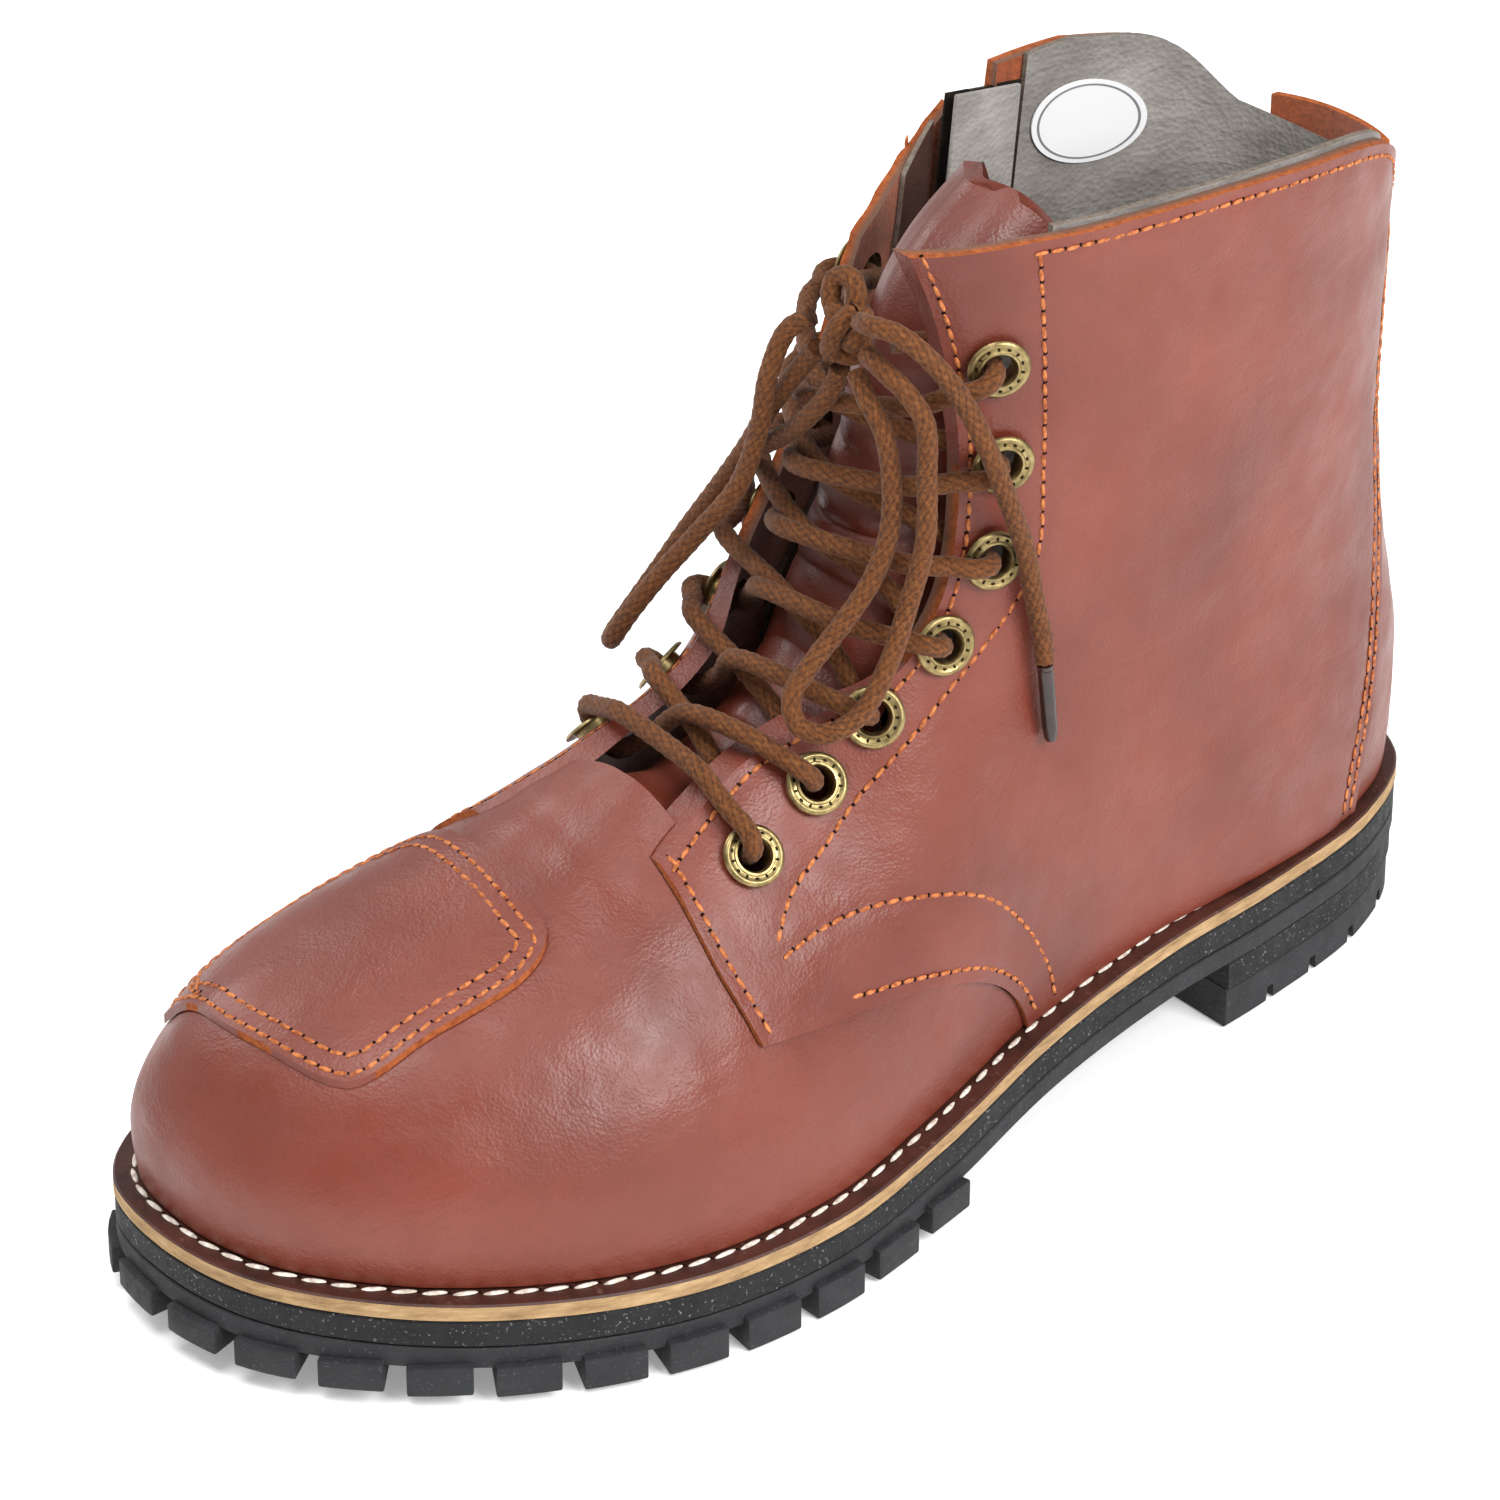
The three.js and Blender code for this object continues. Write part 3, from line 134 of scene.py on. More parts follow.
def spline(points, per=8, closed=False):
    """Points along the smooth centripetal curve through `points`, `per` to a stretch."""
    p = np.array(points, float)
    if closed:
        ring = np.vstack([p[-1:], p, p[:2]])
    else:
        ring = np.vstack([2 * p[0] - p[1], p, 2 * p[-1] - p[-2]])
    out = []
    for a, b, c, d in zip(ring, ring[1:], ring[2:], ring[3:]):
        da, db, dc = (max(np.linalg.norm(q - r), 1e-6) ** 0.5 for q, r in ((b, a), (c, b), (d, c)))
        m1 = ((b - a) / da - (c - a) / (da + db) + (c - b) / db) * db
        m2 = ((c - b) / db - (d - b) / (db + dc) + (d - c) / dc) * db
        t = np.linspace(0, 1, per, endpoint=False)[:, None]
        out.append((2 * t**3 - 3 * t**2 + 1) * b + (t**3 - 2 * t**2 + t) * m1
                   + (3 * t**2 - 2 * t**3) * c + (t**3 - t**2) * m2)
    return np.vstack(out if closed else out + [p[-1:]])


def run_along(points):
    """Distance from the first point of a polyline to each of its points."""
    return np.concatenate([[0], np.cumsum(np.linalg.norm(np.diff(points, axis=0), axis=1))])


def resampled(points, count, closed=False):
    """`count` points evenly spaced along a polyline."""
    p = np.vstack([points, points[:1]]) if closed else np.asarray(points, float)
    run = run_along(p)
    at = np.linspace(0, run[-1], count + 1)[:-1] if closed else np.linspace(0, run[-1], count)
    return np.stack([np.interp(at, run, p[:, k]) for k in range(p.shape[1])], axis=1)


def length_of(points):
    return float(np.linalg.norm(np.diff(points, axis=0), axis=1).sum())


def distance_to(points, line):
    """Distance from each 2-D point to a polyline."""
    best = np.full(len(points), 1e9)
    for a, b in zip(line[:-1], line[1:]):
        way = b - a
        t = np.clip(((points - a) @ way) / max(way @ way, 1e-9), 0, 1)
        best = np.minimum(best, np.linalg.norm(points - a - t[:, None] * way, axis=1))
    return best


# ---- The body surface, where the outer leather lies ----
def smooth_column(table, key, column):
    keys, values = table[:, 0], table[:, column]
    i = np.clip(np.searchsorted(keys, key), 1, len(keys) - 1)
    before, after = np.maximum(i - 2, 0), np.minimum(i + 1, len(keys) - 1)
    span = keys[i] - keys[i - 1]
    t = np.clip((key - keys[i - 1]) / span, 0, 1)

    def slope(a, b):
        return (values[b] - values[a]) / (keys[b] - keys[a]) * span

    m1, m2 = slope(before, i), slope(i - 1, after)
    return ((2 * t**3 - 3 * t**2 + 1) * values[i - 1] + (t**3 - 2 * t**2 + t) * m1
            + (3 * t**2 - 2 * t**3) * values[i] + (t**3 - t**2) * m2)


EDGE_CURVE = spline(WELT_EDGE, per=40, closed=True)


def outline(inset, count):
    """The welt's edge in plan moved inward by `inset`, outward where that is negative."""
    points = resampled(EDGE_CURVE, count, closed=True)
    way = unit(np.roll(points, -1, axis=0) - np.roll(points, 1, axis=0))
    return points + inset * np.stack([-way[:, 1], way[:, 0]], axis=1)


PLAN_STEPS = 144
FIELD_STEP = 1.0
FIELD_X = np.arange(-80, 81, FIELD_STEP)
FIELD_Y = np.arange(-172, 173, FIELD_STEP)


def depth_field():
    """Distance inward from the foot of the upper, over the plan; negative outside."""
    ring = outline(FEATHER_INSET, PLAN_STEPS)
    xy = np.stack(np.meshgrid(FIELD_X, FIELD_Y, indexing="ij"), axis=-1).reshape(-1, 2)
    best = distance_to(xy, np.vstack([ring, ring[:1]]))
    inside = np.zeros(len(xy), bool)
    for a, b in zip(ring, np.roll(ring, -1, axis=0)):
        crosses = (a[1] > xy[:, 1]) != (b[1] > xy[:, 1])
        rise = b[1] - a[1] if b[1] != a[1] else 1
        inside ^= crosses & (xy[:, 0] < a[0] + (b[0] - a[0]) * (xy[:, 1] - a[1]) / rise)
    return np.where(inside, best, -best).reshape(len(FIELD_X), len(FIELD_Y))


FIELD = depth_field()


def depth_inside(x, y):
    fx = np.clip((x - FIELD_X[0]) / FIELD_STEP, 0, len(FIELD_X) - 1.001)
    fy = np.clip((y - FIELD_Y[0]) / FIELD_STEP, 0, len(FIELD_Y) - 1.001)
    i, j = fx.astype(int), fy.astype(int)
    u, v = fx - i, fy - j
    return ((1 - u) * (1 - v) * FIELD[i, j] + u * (1 - v) * FIELD[i + 1, j]
            + (1 - u) * v * FIELD[i, j + 1] + u * v * FIELD[i + 1, j + 1])


def welt_top(y):
    """Height of the welt's upper face along the foot."""
    y = np.asarray(y, float)
    forward = np.clip((-50 - y) / 100, 0, 1.1)
    back = fade(y, -45, 115)
    heel_rise = (WELT_TOP_HEEL - WELT_TOP_BALL) * back * back * (3 - 2 * back)
    return WELT_TOP_BALL + TOE_SPRING * forward**2 + heel_rise


def body(p):
    """Negative inside the body surface and positive outside, roughly in millimetres."""
    x, y, z = p[:, 0], p[:, 1], p[:, 2]
    base = welt_top(y)
    rise, width, power = (smooth_column(FOOT_STATIONS, y, k) for k in (1, 2, 3))
    level = np.maximum(z - base, 0) / (rise - base)
    bulge = 1.8 * np.sin(np.pi * np.clip(level / 0.7, 0, 1))
    inward = np.maximum(1 - (depth_inside(x, y) + bulge) / width, 0)
    foot = ((inward**power + level**power) ** (1 / power) - 1) * width
    front, back, half = (smooth_column(SHAFT_STATIONS, z, k) for k in (1, 2, 3))
    reach = (back - front) / 2
    ahead = front + reach - y
    slack = OPEN_MEDIAL * fade(z, 110, 55) * np.clip(-x / half, 0, 1) * fade(ahead, 0, 25)
    ring = np.abs(x / half) ** SHAFT_POWER + np.abs((ahead + slack) / reach) ** SHAFT_POWER
    shaft = (ring ** (1 / SHAFT_POWER) - 1) * half
    mix = np.clip(0.5 + 0.5 * (shaft - foot) / BLEND, 0, 1)
    return shaft + (foot - shaft) * mix - BLEND * mix * (1 - mix)


def body_normal(p):
    h = 0.4
    n = np.stack([body(p + h * e) - body(p - h * e) for e in np.eye(3)], axis=1)
    return unit(n)


def leaves(origin, way, reach=120.0):
    """Where rays from inside the body leave it."""
    near, far = np.zeros(len(origin)), np.full(len(origin), reach)
    for _ in range(24):
        middle = (near + far) / 2
        inside = body(origin + way * middle[:, None]) < 0
        near, far = np.where(inside, middle, near), np.where(inside, far, middle)
    return origin + way * near[:, None]


def side_points(side, yz, off=0.0):
    """Points on one side of the boot, given in side view and lifted off the surface by `off`."""
    yz = np.asarray(yz, float)
    origin = np.column_stack([np.zeros(len(yz)), yz])
    p = leaves(origin, np.tile([float(SIDES[side]), 0.0, 0.0], (len(yz), 1)))
    n = body_normal(p)
    return p + n * off, n


def top_points(xy, off=0.0):
    """Points on the top of the foot, given in plan."""
    xy = np.asarray(xy, float)
    origin = np.column_stack([xy, np.full(len(xy), 32.0)])
    p = leaves(origin, np.tile([0.0, 0.0, 1.0], (len(xy), 1)))
    n = body_normal(p)
    return p + n * off, n


def ray(u, v, side):
    """Start and direction of the ray for meridian u (0 toe, 1 heel) and level v (0 foot, 1 top)."""
    fan, run, heel = fade(u, 0, 0.2), fade(u, 0.2, 0.6), fade(u, 0.8, 0.2)
    turn = np.radians(90 * fan + 90 * heel)
    flat = np.zeros_like(u)
    low = np.stack([AXIS_X * (1 - run), -105 + 210 * run, flat], axis=1)
    low_way = np.stack([side * np.sin(turn), -np.cos(turn), flat], axis=1)
    t = fade(u, 0, COLLAR_U)
    lean = np.radians(90 * fade(t, 0.3, 0.6))
    climb = 30 + (COLLAR_CUT_Z - 30) * fade(t, 0.35, 0.65)
    ridge = np.stack([AXIS_X * (1 - t), -114 + 181 * t**1.15, climb], axis=1)
    ridge_way = np.stack([flat, -np.sin(lean), np.cos(lean)], axis=1)
    swing = np.radians(180 * fade(u, COLLAR_U, 1 - COLLAR_U))
    rim = np.stack([flat, flat + 67, flat + COLLAR_CUT_Z], axis=1)
    rim_way = np.stack([side * np.sin(swing), -np.cos(swing), flat], axis=1)
    on_ridge = (u < COLLAR_U)[:, None]
    high, high_way = np.where(on_ridge, ridge, rim), np.where(on_ridge, ridge_way, rim_way)
    foot = leaves(np.stack([low[:, 0], low[:, 1], welt_top(low[:, 1]) + 1], axis=1), low_way)
    p = low + (high - low) * v[:, None]
    base = welt_top(foot[:, 1]) + 2 * GAP
    p[:, 2] = base + (high[:, 2] - base) * v
    way = low_way + (high_way - low_way) * v[:, None]
    return p, unit(way)


# ---- Mesh helpers ----
def mesh_of(bm, name):
    """A mesh from a bmesh, which is freed."""
    mesh = bpy.data.meshes.new(name)
    bm.to_mesh(mesh)
    bm.free()
    return mesh


def new_object(name, bm_or_mesh, *materials):
    """A scene object at the origin. Its mesh comes in millimetres."""
    mesh = bm_or_mesh
    if isinstance(bm_or_mesh, bmesh.types.BMesh):
        mesh = mesh_of(bm_or_mesh, name)
        mesh.transform(Matrix.Scale(MM, 4))
    else:
        mesh.materials.clear()
    for material in materials:
        mesh.materials.append(material)
    obj = bpy.data.objects.new(name, mesh)
    bpy.context.scene.collection.objects.link(obj)
    return obj


def shade(obj, degrees=35):
    mesh = obj.data
    mesh.polygons.foreach_set("use_smooth", [True] * len(mesh.polygons))
    mesh.set_sharp_from_angle(angle=math.radians(degrees))


def painted(obj, *materials):
    """Gives a piece these materials and no others."""
    obj.data.materials.clear()
    for material in materials:
        obj.data.materials.append(material)


def placed(obj, slot, *nodes, body_name="boot"):
    """Ties a piece to its body and the plain pieces that it stands for. `slot`, its finish, is not used."""
    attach(obj, body_name)
    if nodes:
        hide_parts(*nodes)
    return obj


def grid_mesh(points, wrap_v=False, caps=False, values=None):
    """A bmesh through a (rows, columns, 3) array of points; `wrap_v` closes each row into a ring.
    `values`, one to a point, are kept as a point attribute: painted shade for the creases of the lace's
    braid."""
    rows, columns = points.shape[:2]
    bm = bmesh.new()
    bmesh.ops.create_grid(bm, x_segments=columns - 1, y_segments=rows - 1, size=1)
    bm.verts.ensure_lookup_table()
    for vert, p in zip(bm.verts, points.reshape(-1, 3)):
        vert.co = p
    if values is not None:
        layer = bm.verts.layers.float.new("crease_shade")
        for vert, value in zip(bm.verts, values.ravel()):
            vert[layer] = value
    if wrap_v:
        bmesh.ops.weld_verts(bm, targetmap={
            bm.verts[i * columns + columns - 1]: bm.verts[i * columns] for i in range(rows)})
    if caps:
        bmesh.ops.holes_fill(bm, edges=[e for e in bm.edges if e.is_boundary], sides=0)
    bmesh.ops.recalc_face_normals(bm, faces=bm.faces)
    return bm


def prism(points, low, high, axis):
    """A closed prism over a 2-D outline: axis 'X' takes y and z, axis 'Z' takes x and y."""
    bm = bmesh.new()

    def place(p, h):
        return (h, p[0], p[1]) if axis == "X" else (p[0], p[1], h)

    face = bm.faces.new([bm.verts.new(place(p, low)) for p in points])
    side = bmesh.ops.extrude_face_region(bm, geom=[face])["geom"]
    way = Vector((high - low, 0, 0)) if axis == "X" else Vector((0, 0, high - low))
    bmesh.ops.translate(bm, verts=[g for g in side if isinstance(g, bmesh.types.BMVert)], vec=way)
    bmesh.ops.triangulate(bm, faces=[f for f in bm.faces if len(f.verts) > 4])
    bmesh.ops.recalc_face_normals(bm, faces=bm.faces)
    return bm


def cut(obj, cutters, operation):
    """Boolean with each cutter mesh in turn, applied at once."""
    for bm in cutters:
        tool = new_object("cutter", bm)
        mod = obj.modifiers.new("cut", "BOOLEAN")
        mod.operation, mod.object, mod.solver = operation, tool, "MANIFOLD"
        result = bpy.data.meshes.new_from_object(obj.evaluated_get(bpy.context.evaluated_depsgraph_get()))
        obj.modifiers.clear()
        obj.data = result
        bpy.data.objects.remove(tool)


def smooth_outline(runs, per=8):
    """A closed outline; each run of three points or more is one smooth edge."""
    out = []
    for run in runs:
        pts = spline(run, per) if len(run) > 2 else np.array(run, float)
        out.extend(p for p in pts if not out or np.linalg.norm(p - out[-1]) > 0.05)
    return np.array(out)


def joined(bms):
    """Several bmeshes as one."""
    out = bmesh.new()
    for bm in bms:
        mesh = mesh_of(bm, "bit")
        out.from_mesh(mesh)
        bpy.data.meshes.remove(mesh)
    return out


def stood_on(bm, way, at):
    """Turns a bmesh so that its Z points along `way`, then moves it to `at`."""
    turn = Vector((0, 0, 1)).rotation_difference(Vector(way)).to_matrix()
    bmesh.ops.rotate(bm, verts=bm.verts, matrix=turn)
    bmesh.ops.translate(bm, verts=bm.verts, vec=at)
    return bm


def rounded(bm, edges, by, **more):
    """Takes the edges off in two steps."""
    bmesh.ops.bevel(bm, geom=edges, offset=by, offset_type="OFFSET", affect="EDGES", segments=2, profile=0.5,
                    material=-1, **more)


def grown(points, by):
    """A closed 2-D outline moved outward by `by`."""
    before, after = np.roll(points, 1, axis=0), np.roll(points, -1, axis=0)
    area = 0.5 * np.sum(points[:, 0] * after[:, 1] - after[:, 0] * points[:, 1])

    def across(a, b):
        way = b - a
        out = np.stack([way[:, 1], -way[:, 0]], axis=1)
        return out / np.maximum(np.linalg.norm(out, axis=1), 1e-9)[:, None]

    total = across(before, points) + across(points, after)
    return points + total * (by * np.sign(area) / np.maximum(0.5 * (total**2).sum(1), 0.4))[:, None]


def zip_at(z):
    return ZIP_BOTTOM[0] + (z - ZIP_BOTTOM[1]) * (ZIP_TOP[0] - ZIP_BOTTOM[0]) / (ZIP_TOP[1] - ZIP_BOTTOM[1])


def zip_edge(z, by):
    return (zip_at(z) + by, z)


PANELS = {
    "quarter_lateral": [FACING_FRONT["lateral"], FACING_EDGE["lateral"], LATERAL_TOP, SEAM, UNDER, WING_EDGE],
    "quarter_medial_front": [
        FACING_FRONT["medial"], FACING_EDGE["medial"], MEDIAL_FRONT_TOP,
        [zip_edge(182, -ZIP_HALF_SLIT), zip_edge(44, -ZIP_HALF_SLIT),
         zip_edge(38, -GAP / 2), zip_edge(5, -GAP / 2)],
        WING_EDGE,
    ],
    "quarter_medial_rear": [
        [zip_edge(5, GAP / 2), zip_edge(38, GAP / 2)],
        [zip_edge(44, ZIP_HALF_SLIT), zip_edge(187, ZIP_HALF_SLIT)],
        MEDIAL_REAR_TOP, SEAM,
    ],
}
PANELS = {name: smooth_outline(runs) for name, runs in PANELS.items()}

# ---- The fine surface grid ----
GRID_U, GRID_V = 250, 116


def surface_grid(side):
    """Points and normals of one side of the body, from the sole up to the ridge and the collar."""
    u, v = np.meshgrid(np.linspace(0, 1, GRID_U + 1), np.linspace(0, 1, GRID_V + 1), indexing="ij")
    origin, way = ray(u.ravel(), v.ravel(), side)
    p = leaves(origin, way)
    n = body_normal(p)
    foot = v.ravel() == 0
    n[foot, 2] = 0
    shape = (GRID_U + 1, GRID_V + 1, 3)
    return p.reshape(shape), unit(n).reshape(shape)


GRIDS = {name: surface_grid(side) for name, side in SIDES.items()}
COLLAR_START = int(GRID_U * COLLAR_U)


def shell(inner, outer, relief=None):
    """The closed shell between two offsets of the body, open at the sole and at the collar.
    `relief` gives an extra height for outer points."""
    bm = bmesh.new()
    rows, columns = GRID_U + 1, GRID_V + 1
    corners = {}
    for level, off in enumerate((outer, inner)):
        for name, (p, n) in GRIDS.items():
            flat, normals = p.reshape(-1, 3), n.reshape(-1, 3)
            extra = relief(flat, normals, name) if relief and level == 0 else 0
            q = flat + normals * np.reshape(off + extra, (-1, 1))
            corners[level, name] = [bm.verts.new(c) for c in q]

    def quads(a, b, c, d, turned):
        bm.faces.new((a, d, c, b) if turned else (a, b, c, d))

    for name, side in SIDES.items():
        out, inside = corners[0, name], corners[1, name]
        for i in range(rows - 1):
            for j in range(columns - 1):
                k = i * columns + j
                quads(out[k], out[k + columns], out[k + columns + 1], out[k + 1], side < 0)
                quads(inside[k], inside[k + columns], inside[k + columns + 1], inside[k + 1], side > 0)
            k = i * columns
            quads(inside[k], inside[k + columns], out[k + columns], out[k], side < 0)
            if i >= COLLAR_START:
                k += columns - 1
                quads(out[k], out[k + columns], inside[k + columns], inside[k], side < 0)
    bmesh.ops.remove_doubles(bm, verts=bm.verts, dist=0.004)
    bmesh.ops.recalc_face_normals(bm, faces=bm.faces)
    mesh = mesh_of(bm, "shell")
    mesh.transform(Matrix.Scale(MM, 4))
    return mesh


def panel(name, mesh, materials, keep=(), remove=(), edge_limit=0.55):
    """A piece cut from a shell. Material 0 goes on the outer face, 1 on cut edges, 2 on the inner face."""
    obj = new_object(name, mesh.copy(), *materials)
    cut(obj, keep, "INTERSECT")
    cut(obj, remove, "DIFFERENCE")
    painted(obj, *materials)
    mesh = obj.data
    count = len(mesh.polygons)
    centre, normal = np.empty(count * 3), np.empty(count * 3)
    mesh.polygons.foreach_get("center", centre)
    mesh.polygons.foreach_get("normal", normal)
    facing = (body_normal(centre.reshape(-1, 3) / MM) * normal.reshape(-1, 3)).sum(1)
    corners = np.empty(len(mesh.vertices) * 3)
    mesh.vertices.foreach_get("co", corners)
    depth = mesh.attributes.new("depth", "FLOAT", "POINT")
    inward = -body(corners.reshape(-1, 3) / MM)
    depth.data.foreach_set("value", np.clip(inward / 3 + 0.5, 0, 1).astype(np.float32))
    index = np.where(facing > edge_limit, 0, np.where(facing < -edge_limit, 2, 1))
    mesh.polygons.foreach_set("material_index", index.astype(np.int32))
    shade(obj)
    return obj


def skin(node, ending, slot, mesh, materials, keep, remove=()):
    """A panel that stands for a plain piece and is named after it."""
    placed(panel(f"{node}_{ending}", mesh, materials, keep, remove), slot, node)


# ---- Materials ----
def linear(hex_color):
    """A linear colour from an sRGB hex number."""
    parts = [(hex_color >> shift & 255) / 255 for shift in (16, 8, 0)]
    return tuple(c / 12.92 if c <= 0.04045 else ((c + 0.055) / 1.055) ** 2.4 for c in parts) + (1.0,)


class Look:
    """A procedural material under construction."""

    def __init__(self, name, color, roughness, metallic=0.0, specular=0.5):
        self.material = bpy.data.materials.new(name)
        self.material.use_nodes = True
        self.tree = self.material.node_tree
        self.surface = self.tree.nodes["Principled BSDF"]
        self.surface.inputs["Base Color"].default_value = linear(color)
        self.surface.inputs["Roughness"].default_value = roughness
        self.surface.inputs["Metallic"].default_value = metallic
        self.surface.inputs["Specular IOR Level"].default_value = specular
        self.material.diffuse_color = linear(color)
        self.place = None

    def node(self, kind, **values):
        node = self.tree.nodes.new(kind)
        for key, value in values.items():
            setattr(node, key, value)
        return node

    def link(self, a, b):
        self.tree.links.new(a, b)

    def where(self, stretch=(1, 1, 1)):
        mapping = self.node("ShaderNodeMapping")
        mapping.inputs["Scale"].default_value = stretch
        self.place = self.place or self.node("ShaderNodeTexCoord")
        self.link(self.place.outputs["Object"], mapping.inputs["Vector"])
        return mapping.outputs["Vector"]

    def noise(self, scale, detail=3.0, rough=0.55, stretch=(1, 1, 1), distortion=0.0):
        tex = self.node("ShaderNodeTexNoise")
        tex.inputs["Scale"].default_value = scale
        tex.inputs["Detail"].default_value = detail
        tex.inputs["Roughness"].default_value = rough
        tex.inputs["Distortion"].default_value = distortion
        self.link(self.where(stretch), tex.inputs["Vector"])
        return tex.outputs["Fac"]

    def cells(self, scale, feature="F1", stretch=(1, 1, 1)):
        tex = self.node("ShaderNodeTexVoronoi", feature=feature)
        tex.inputs["Scale"].default_value = scale
        self.link(self.where(stretch), tex.inputs["Vector"])
        return tex.outputs["Distance"]

    def levels(self, value, low, high, to_low=0.0, to_high=1.0):
        ramp = self.node("ShaderNodeMapRange", clamp=True)
        for key, number in (("From Min", low), ("From Max", high), ("To Min", to_low), ("To Max", to_high)):
            ramp.inputs[key].default_value = number
        self.link(value, ramp.inputs["Value"])
        return ramp.outputs["Result"]

    def tint(self, stops, value):
        """Base colour from a ramp of hex colours over `value`."""
        ramp = self.node("ShaderNodeValToRGB")
        while len(ramp.color_ramp.elements) < len(stops):
            ramp.color_ramp.elements.new(0.5)
        for element, (position, color) in zip(ramp.color_ramp.elements, stops):
            element.position, element.color = position, linear(color)
        self.link(value, ramp.inputs["Fac"])
        self.link(ramp.outputs["Color"], self.surface.inputs["Base Color"])
        return ramp.outputs["Color"]

    def stain(self, color, value):
        """A second colour laid over the base where `value` is high."""
        mix = self.node("ShaderNodeMix", data_type="RGBA")
        base = self.surface.inputs["Base Color"]
        if base.links:
            self.link(base.links[0].from_socket, mix.inputs["A"])
        else:
            mix.inputs["A"].default_value = base.default_value
        mix.inputs["B"].default_value = linear(color)
        self.link(value, mix.inputs["Factor"])
        self.link(mix.outputs["Result"], base)

    def rough(self, value, low, high):
        self.link(self.levels(value, 0.3, 0.7, low, high), self.surface.inputs["Roughness"])

    def bump(self, value, height_mm, strength=1.0):
        node = self.node("ShaderNodeBump")
        node.inputs["Strength"].default_value = strength
        node.inputs["Distance"].default_value = height_mm * MM
        normal = self.surface.inputs["Normal"]
        if normal.links:
            self.link(normal.links[0].from_socket, node.inputs["Normal"])
        self.link(value, node.inputs["Height"])
        self.link(node.outputs["Normal"], normal)

    def attribute(self, name):
        return self.node("ShaderNodeAttribute", attribute_name=name).outputs["Fac"]


def leather_look(name, dark, middle, light, gloss=0.4, creases=1.0):
    look = Look(name, middle, gloss, specular=0.5)
    look.tint([(0.25, dark), (0.5, middle), (0.8, light)], look.noise(24, 3, 0.5))
    look.stain(dark, look.levels(look.noise(420, 3, 0.6, stretch=(1, 0.8, 1.3)), 0.5, 0.8, 0.0, 0.3))
    look.rough(look.noise(90, 3, 0.5), gloss - 0.05, gloss + 0.13)
    look.bump(look.noise(70, 5, 0.62, stretch=(1, 0.7, 1.2), distortion=0.8), 0.8 * creases, 0.5)
    look.bump(look.cells(1500), 0.12, 0.5)
    look.bump(look.noise(520, 3, 0.6), 0.14 * creases, 0.6)
    return look


LEATHER = leather_look("upper_leather_look", 0x5E2416, 0x702F1F, 0x7D3827)
TONGUE = leather_look("tongue_leather_look", 0x562216, 0x672B1D, 0x743525, 0.38, 0.7)


def edge_look(name, color, dark):
    look = Look(name, color, 0.95, specular=0.15)
    look.tint([(0.3, dark), (0.7, color)], look.noise(700, 4, 0.7))
    look.bump(look.noise(1400, 3, 0.7), 0.35, 0.9)
    return look


RAW_EDGE = edge_look("raw_edge_look", 0xB06236, 0x7A3B1F)
RAW_EDGE.stain(0x6B5347, RAW_EDGE.levels(RAW_EDGE.attribute("depth"), 0.3, 0.75, 0.0, 0.9))
SUEDE = edge_look("suede_look", 0xA9562C, 0x7F3C1D)
SUEDE.surface.inputs["Sheen Weight"].default_value = 0.4
LINING_EDGE = edge_look("lining_edge_look", 0x84796E, 0x5B5048)

LINING_LOOK = Look("lining_look", 0x8B8681, 0.7, specular=0.3)
LINING_LOOK.tint([(0.3, 0x77726E), (0.7, 0x9C9792)], LINING_LOOK.noise(60, 4, 0.6))
LINING_LOOK.bump(LINING_LOOK.cells(900), 0.22, 0.8)
LINING_LOOK.bump(LINING_LOOK.noise(75, 4, 0.55, stretch=(0.5, 0.5, 1.6), distortion=1.2), 1.3, 0.5)
FACING_BACK = Look("facing_back_look", 0x3A2620, 0.6, specular=0.3)
FACING_BACK.tint([(0.3, 0x2E1D18), (0.7, 0x4A3028)], FACING_BACK.noise(80, 4, 0.6))
FACING_BACK.bump(FACING_BACK.cells(1000), 0.15, 0.6)

THREAD = Look("thread_look", 0xB8683A, 0.7, specular=0.25)
THREAD.tint([(0.35, 0x8E4823), (0.65, 0xC87B48)], THREAD.noise(900, 2, 0.5))
WHITE_THREAD = Look("white_thread_look", 0xE2D8CB, 0.75, specular=0.2)
WHITE_THREAD.tint([(0.35, 0xB8AA9C), (0.65, 0xEDE6DC)], WHITE_THREAD.noise(800, 2, 0.5))
# Painted shade: the near-black colour of the flat beads that stand for the stitch holes.
HOLE_SHADE = Look("hole_shade_look", 0x1E0D08, 0.9, specular=0.1)

BRASS = Look("brass_look", 0x938258, 0.42, 1.0)
BRASS.tint([(0.25, 0x675A3E), (0.5, 0x918057), (0.75, 0xAB9B70)], BRASS.noise(420, 4, 0.65))
BRASS.rough(BRASS.noise(600, 3, 0.6), 0.28, 0.55)
BRASS.bump(BRASS.noise(1300, 2, 0.5), 0.05, 0.4)
BRASS_MARK = Look("brass_mark_look", 0x2C2417, 0.6, 1.0)
BRASS_MARK.bump(BRASS_MARK.noise(1300, 2, 0.5), 0.04, 0.4)
ZIP_METAL = Look("zip_metal_look", 0x4C463E, 0.36, 1.0)
ZIP_METAL.tint([(0.35, 0x35302A), (0.65, 0x686055)], ZIP_METAL.noise(400, 3, 0.6))
ZIP_METAL.rough(ZIP_METAL.noise(700, 3, 0.6), 0.28, 0.46)
TAPE = Look("zip_tape_look", 0x17130F, 0.95, specular=0.15)
TAPE.tint([(0.3, 0x120F0C), (0.7, 0x221C17)], TAPE.noise(300, 3, 0.6))
TAPE.bump(TAPE.noise(1500, 1, 0.5, stretch=(1, 1, 3)), 0.2, 0.8)
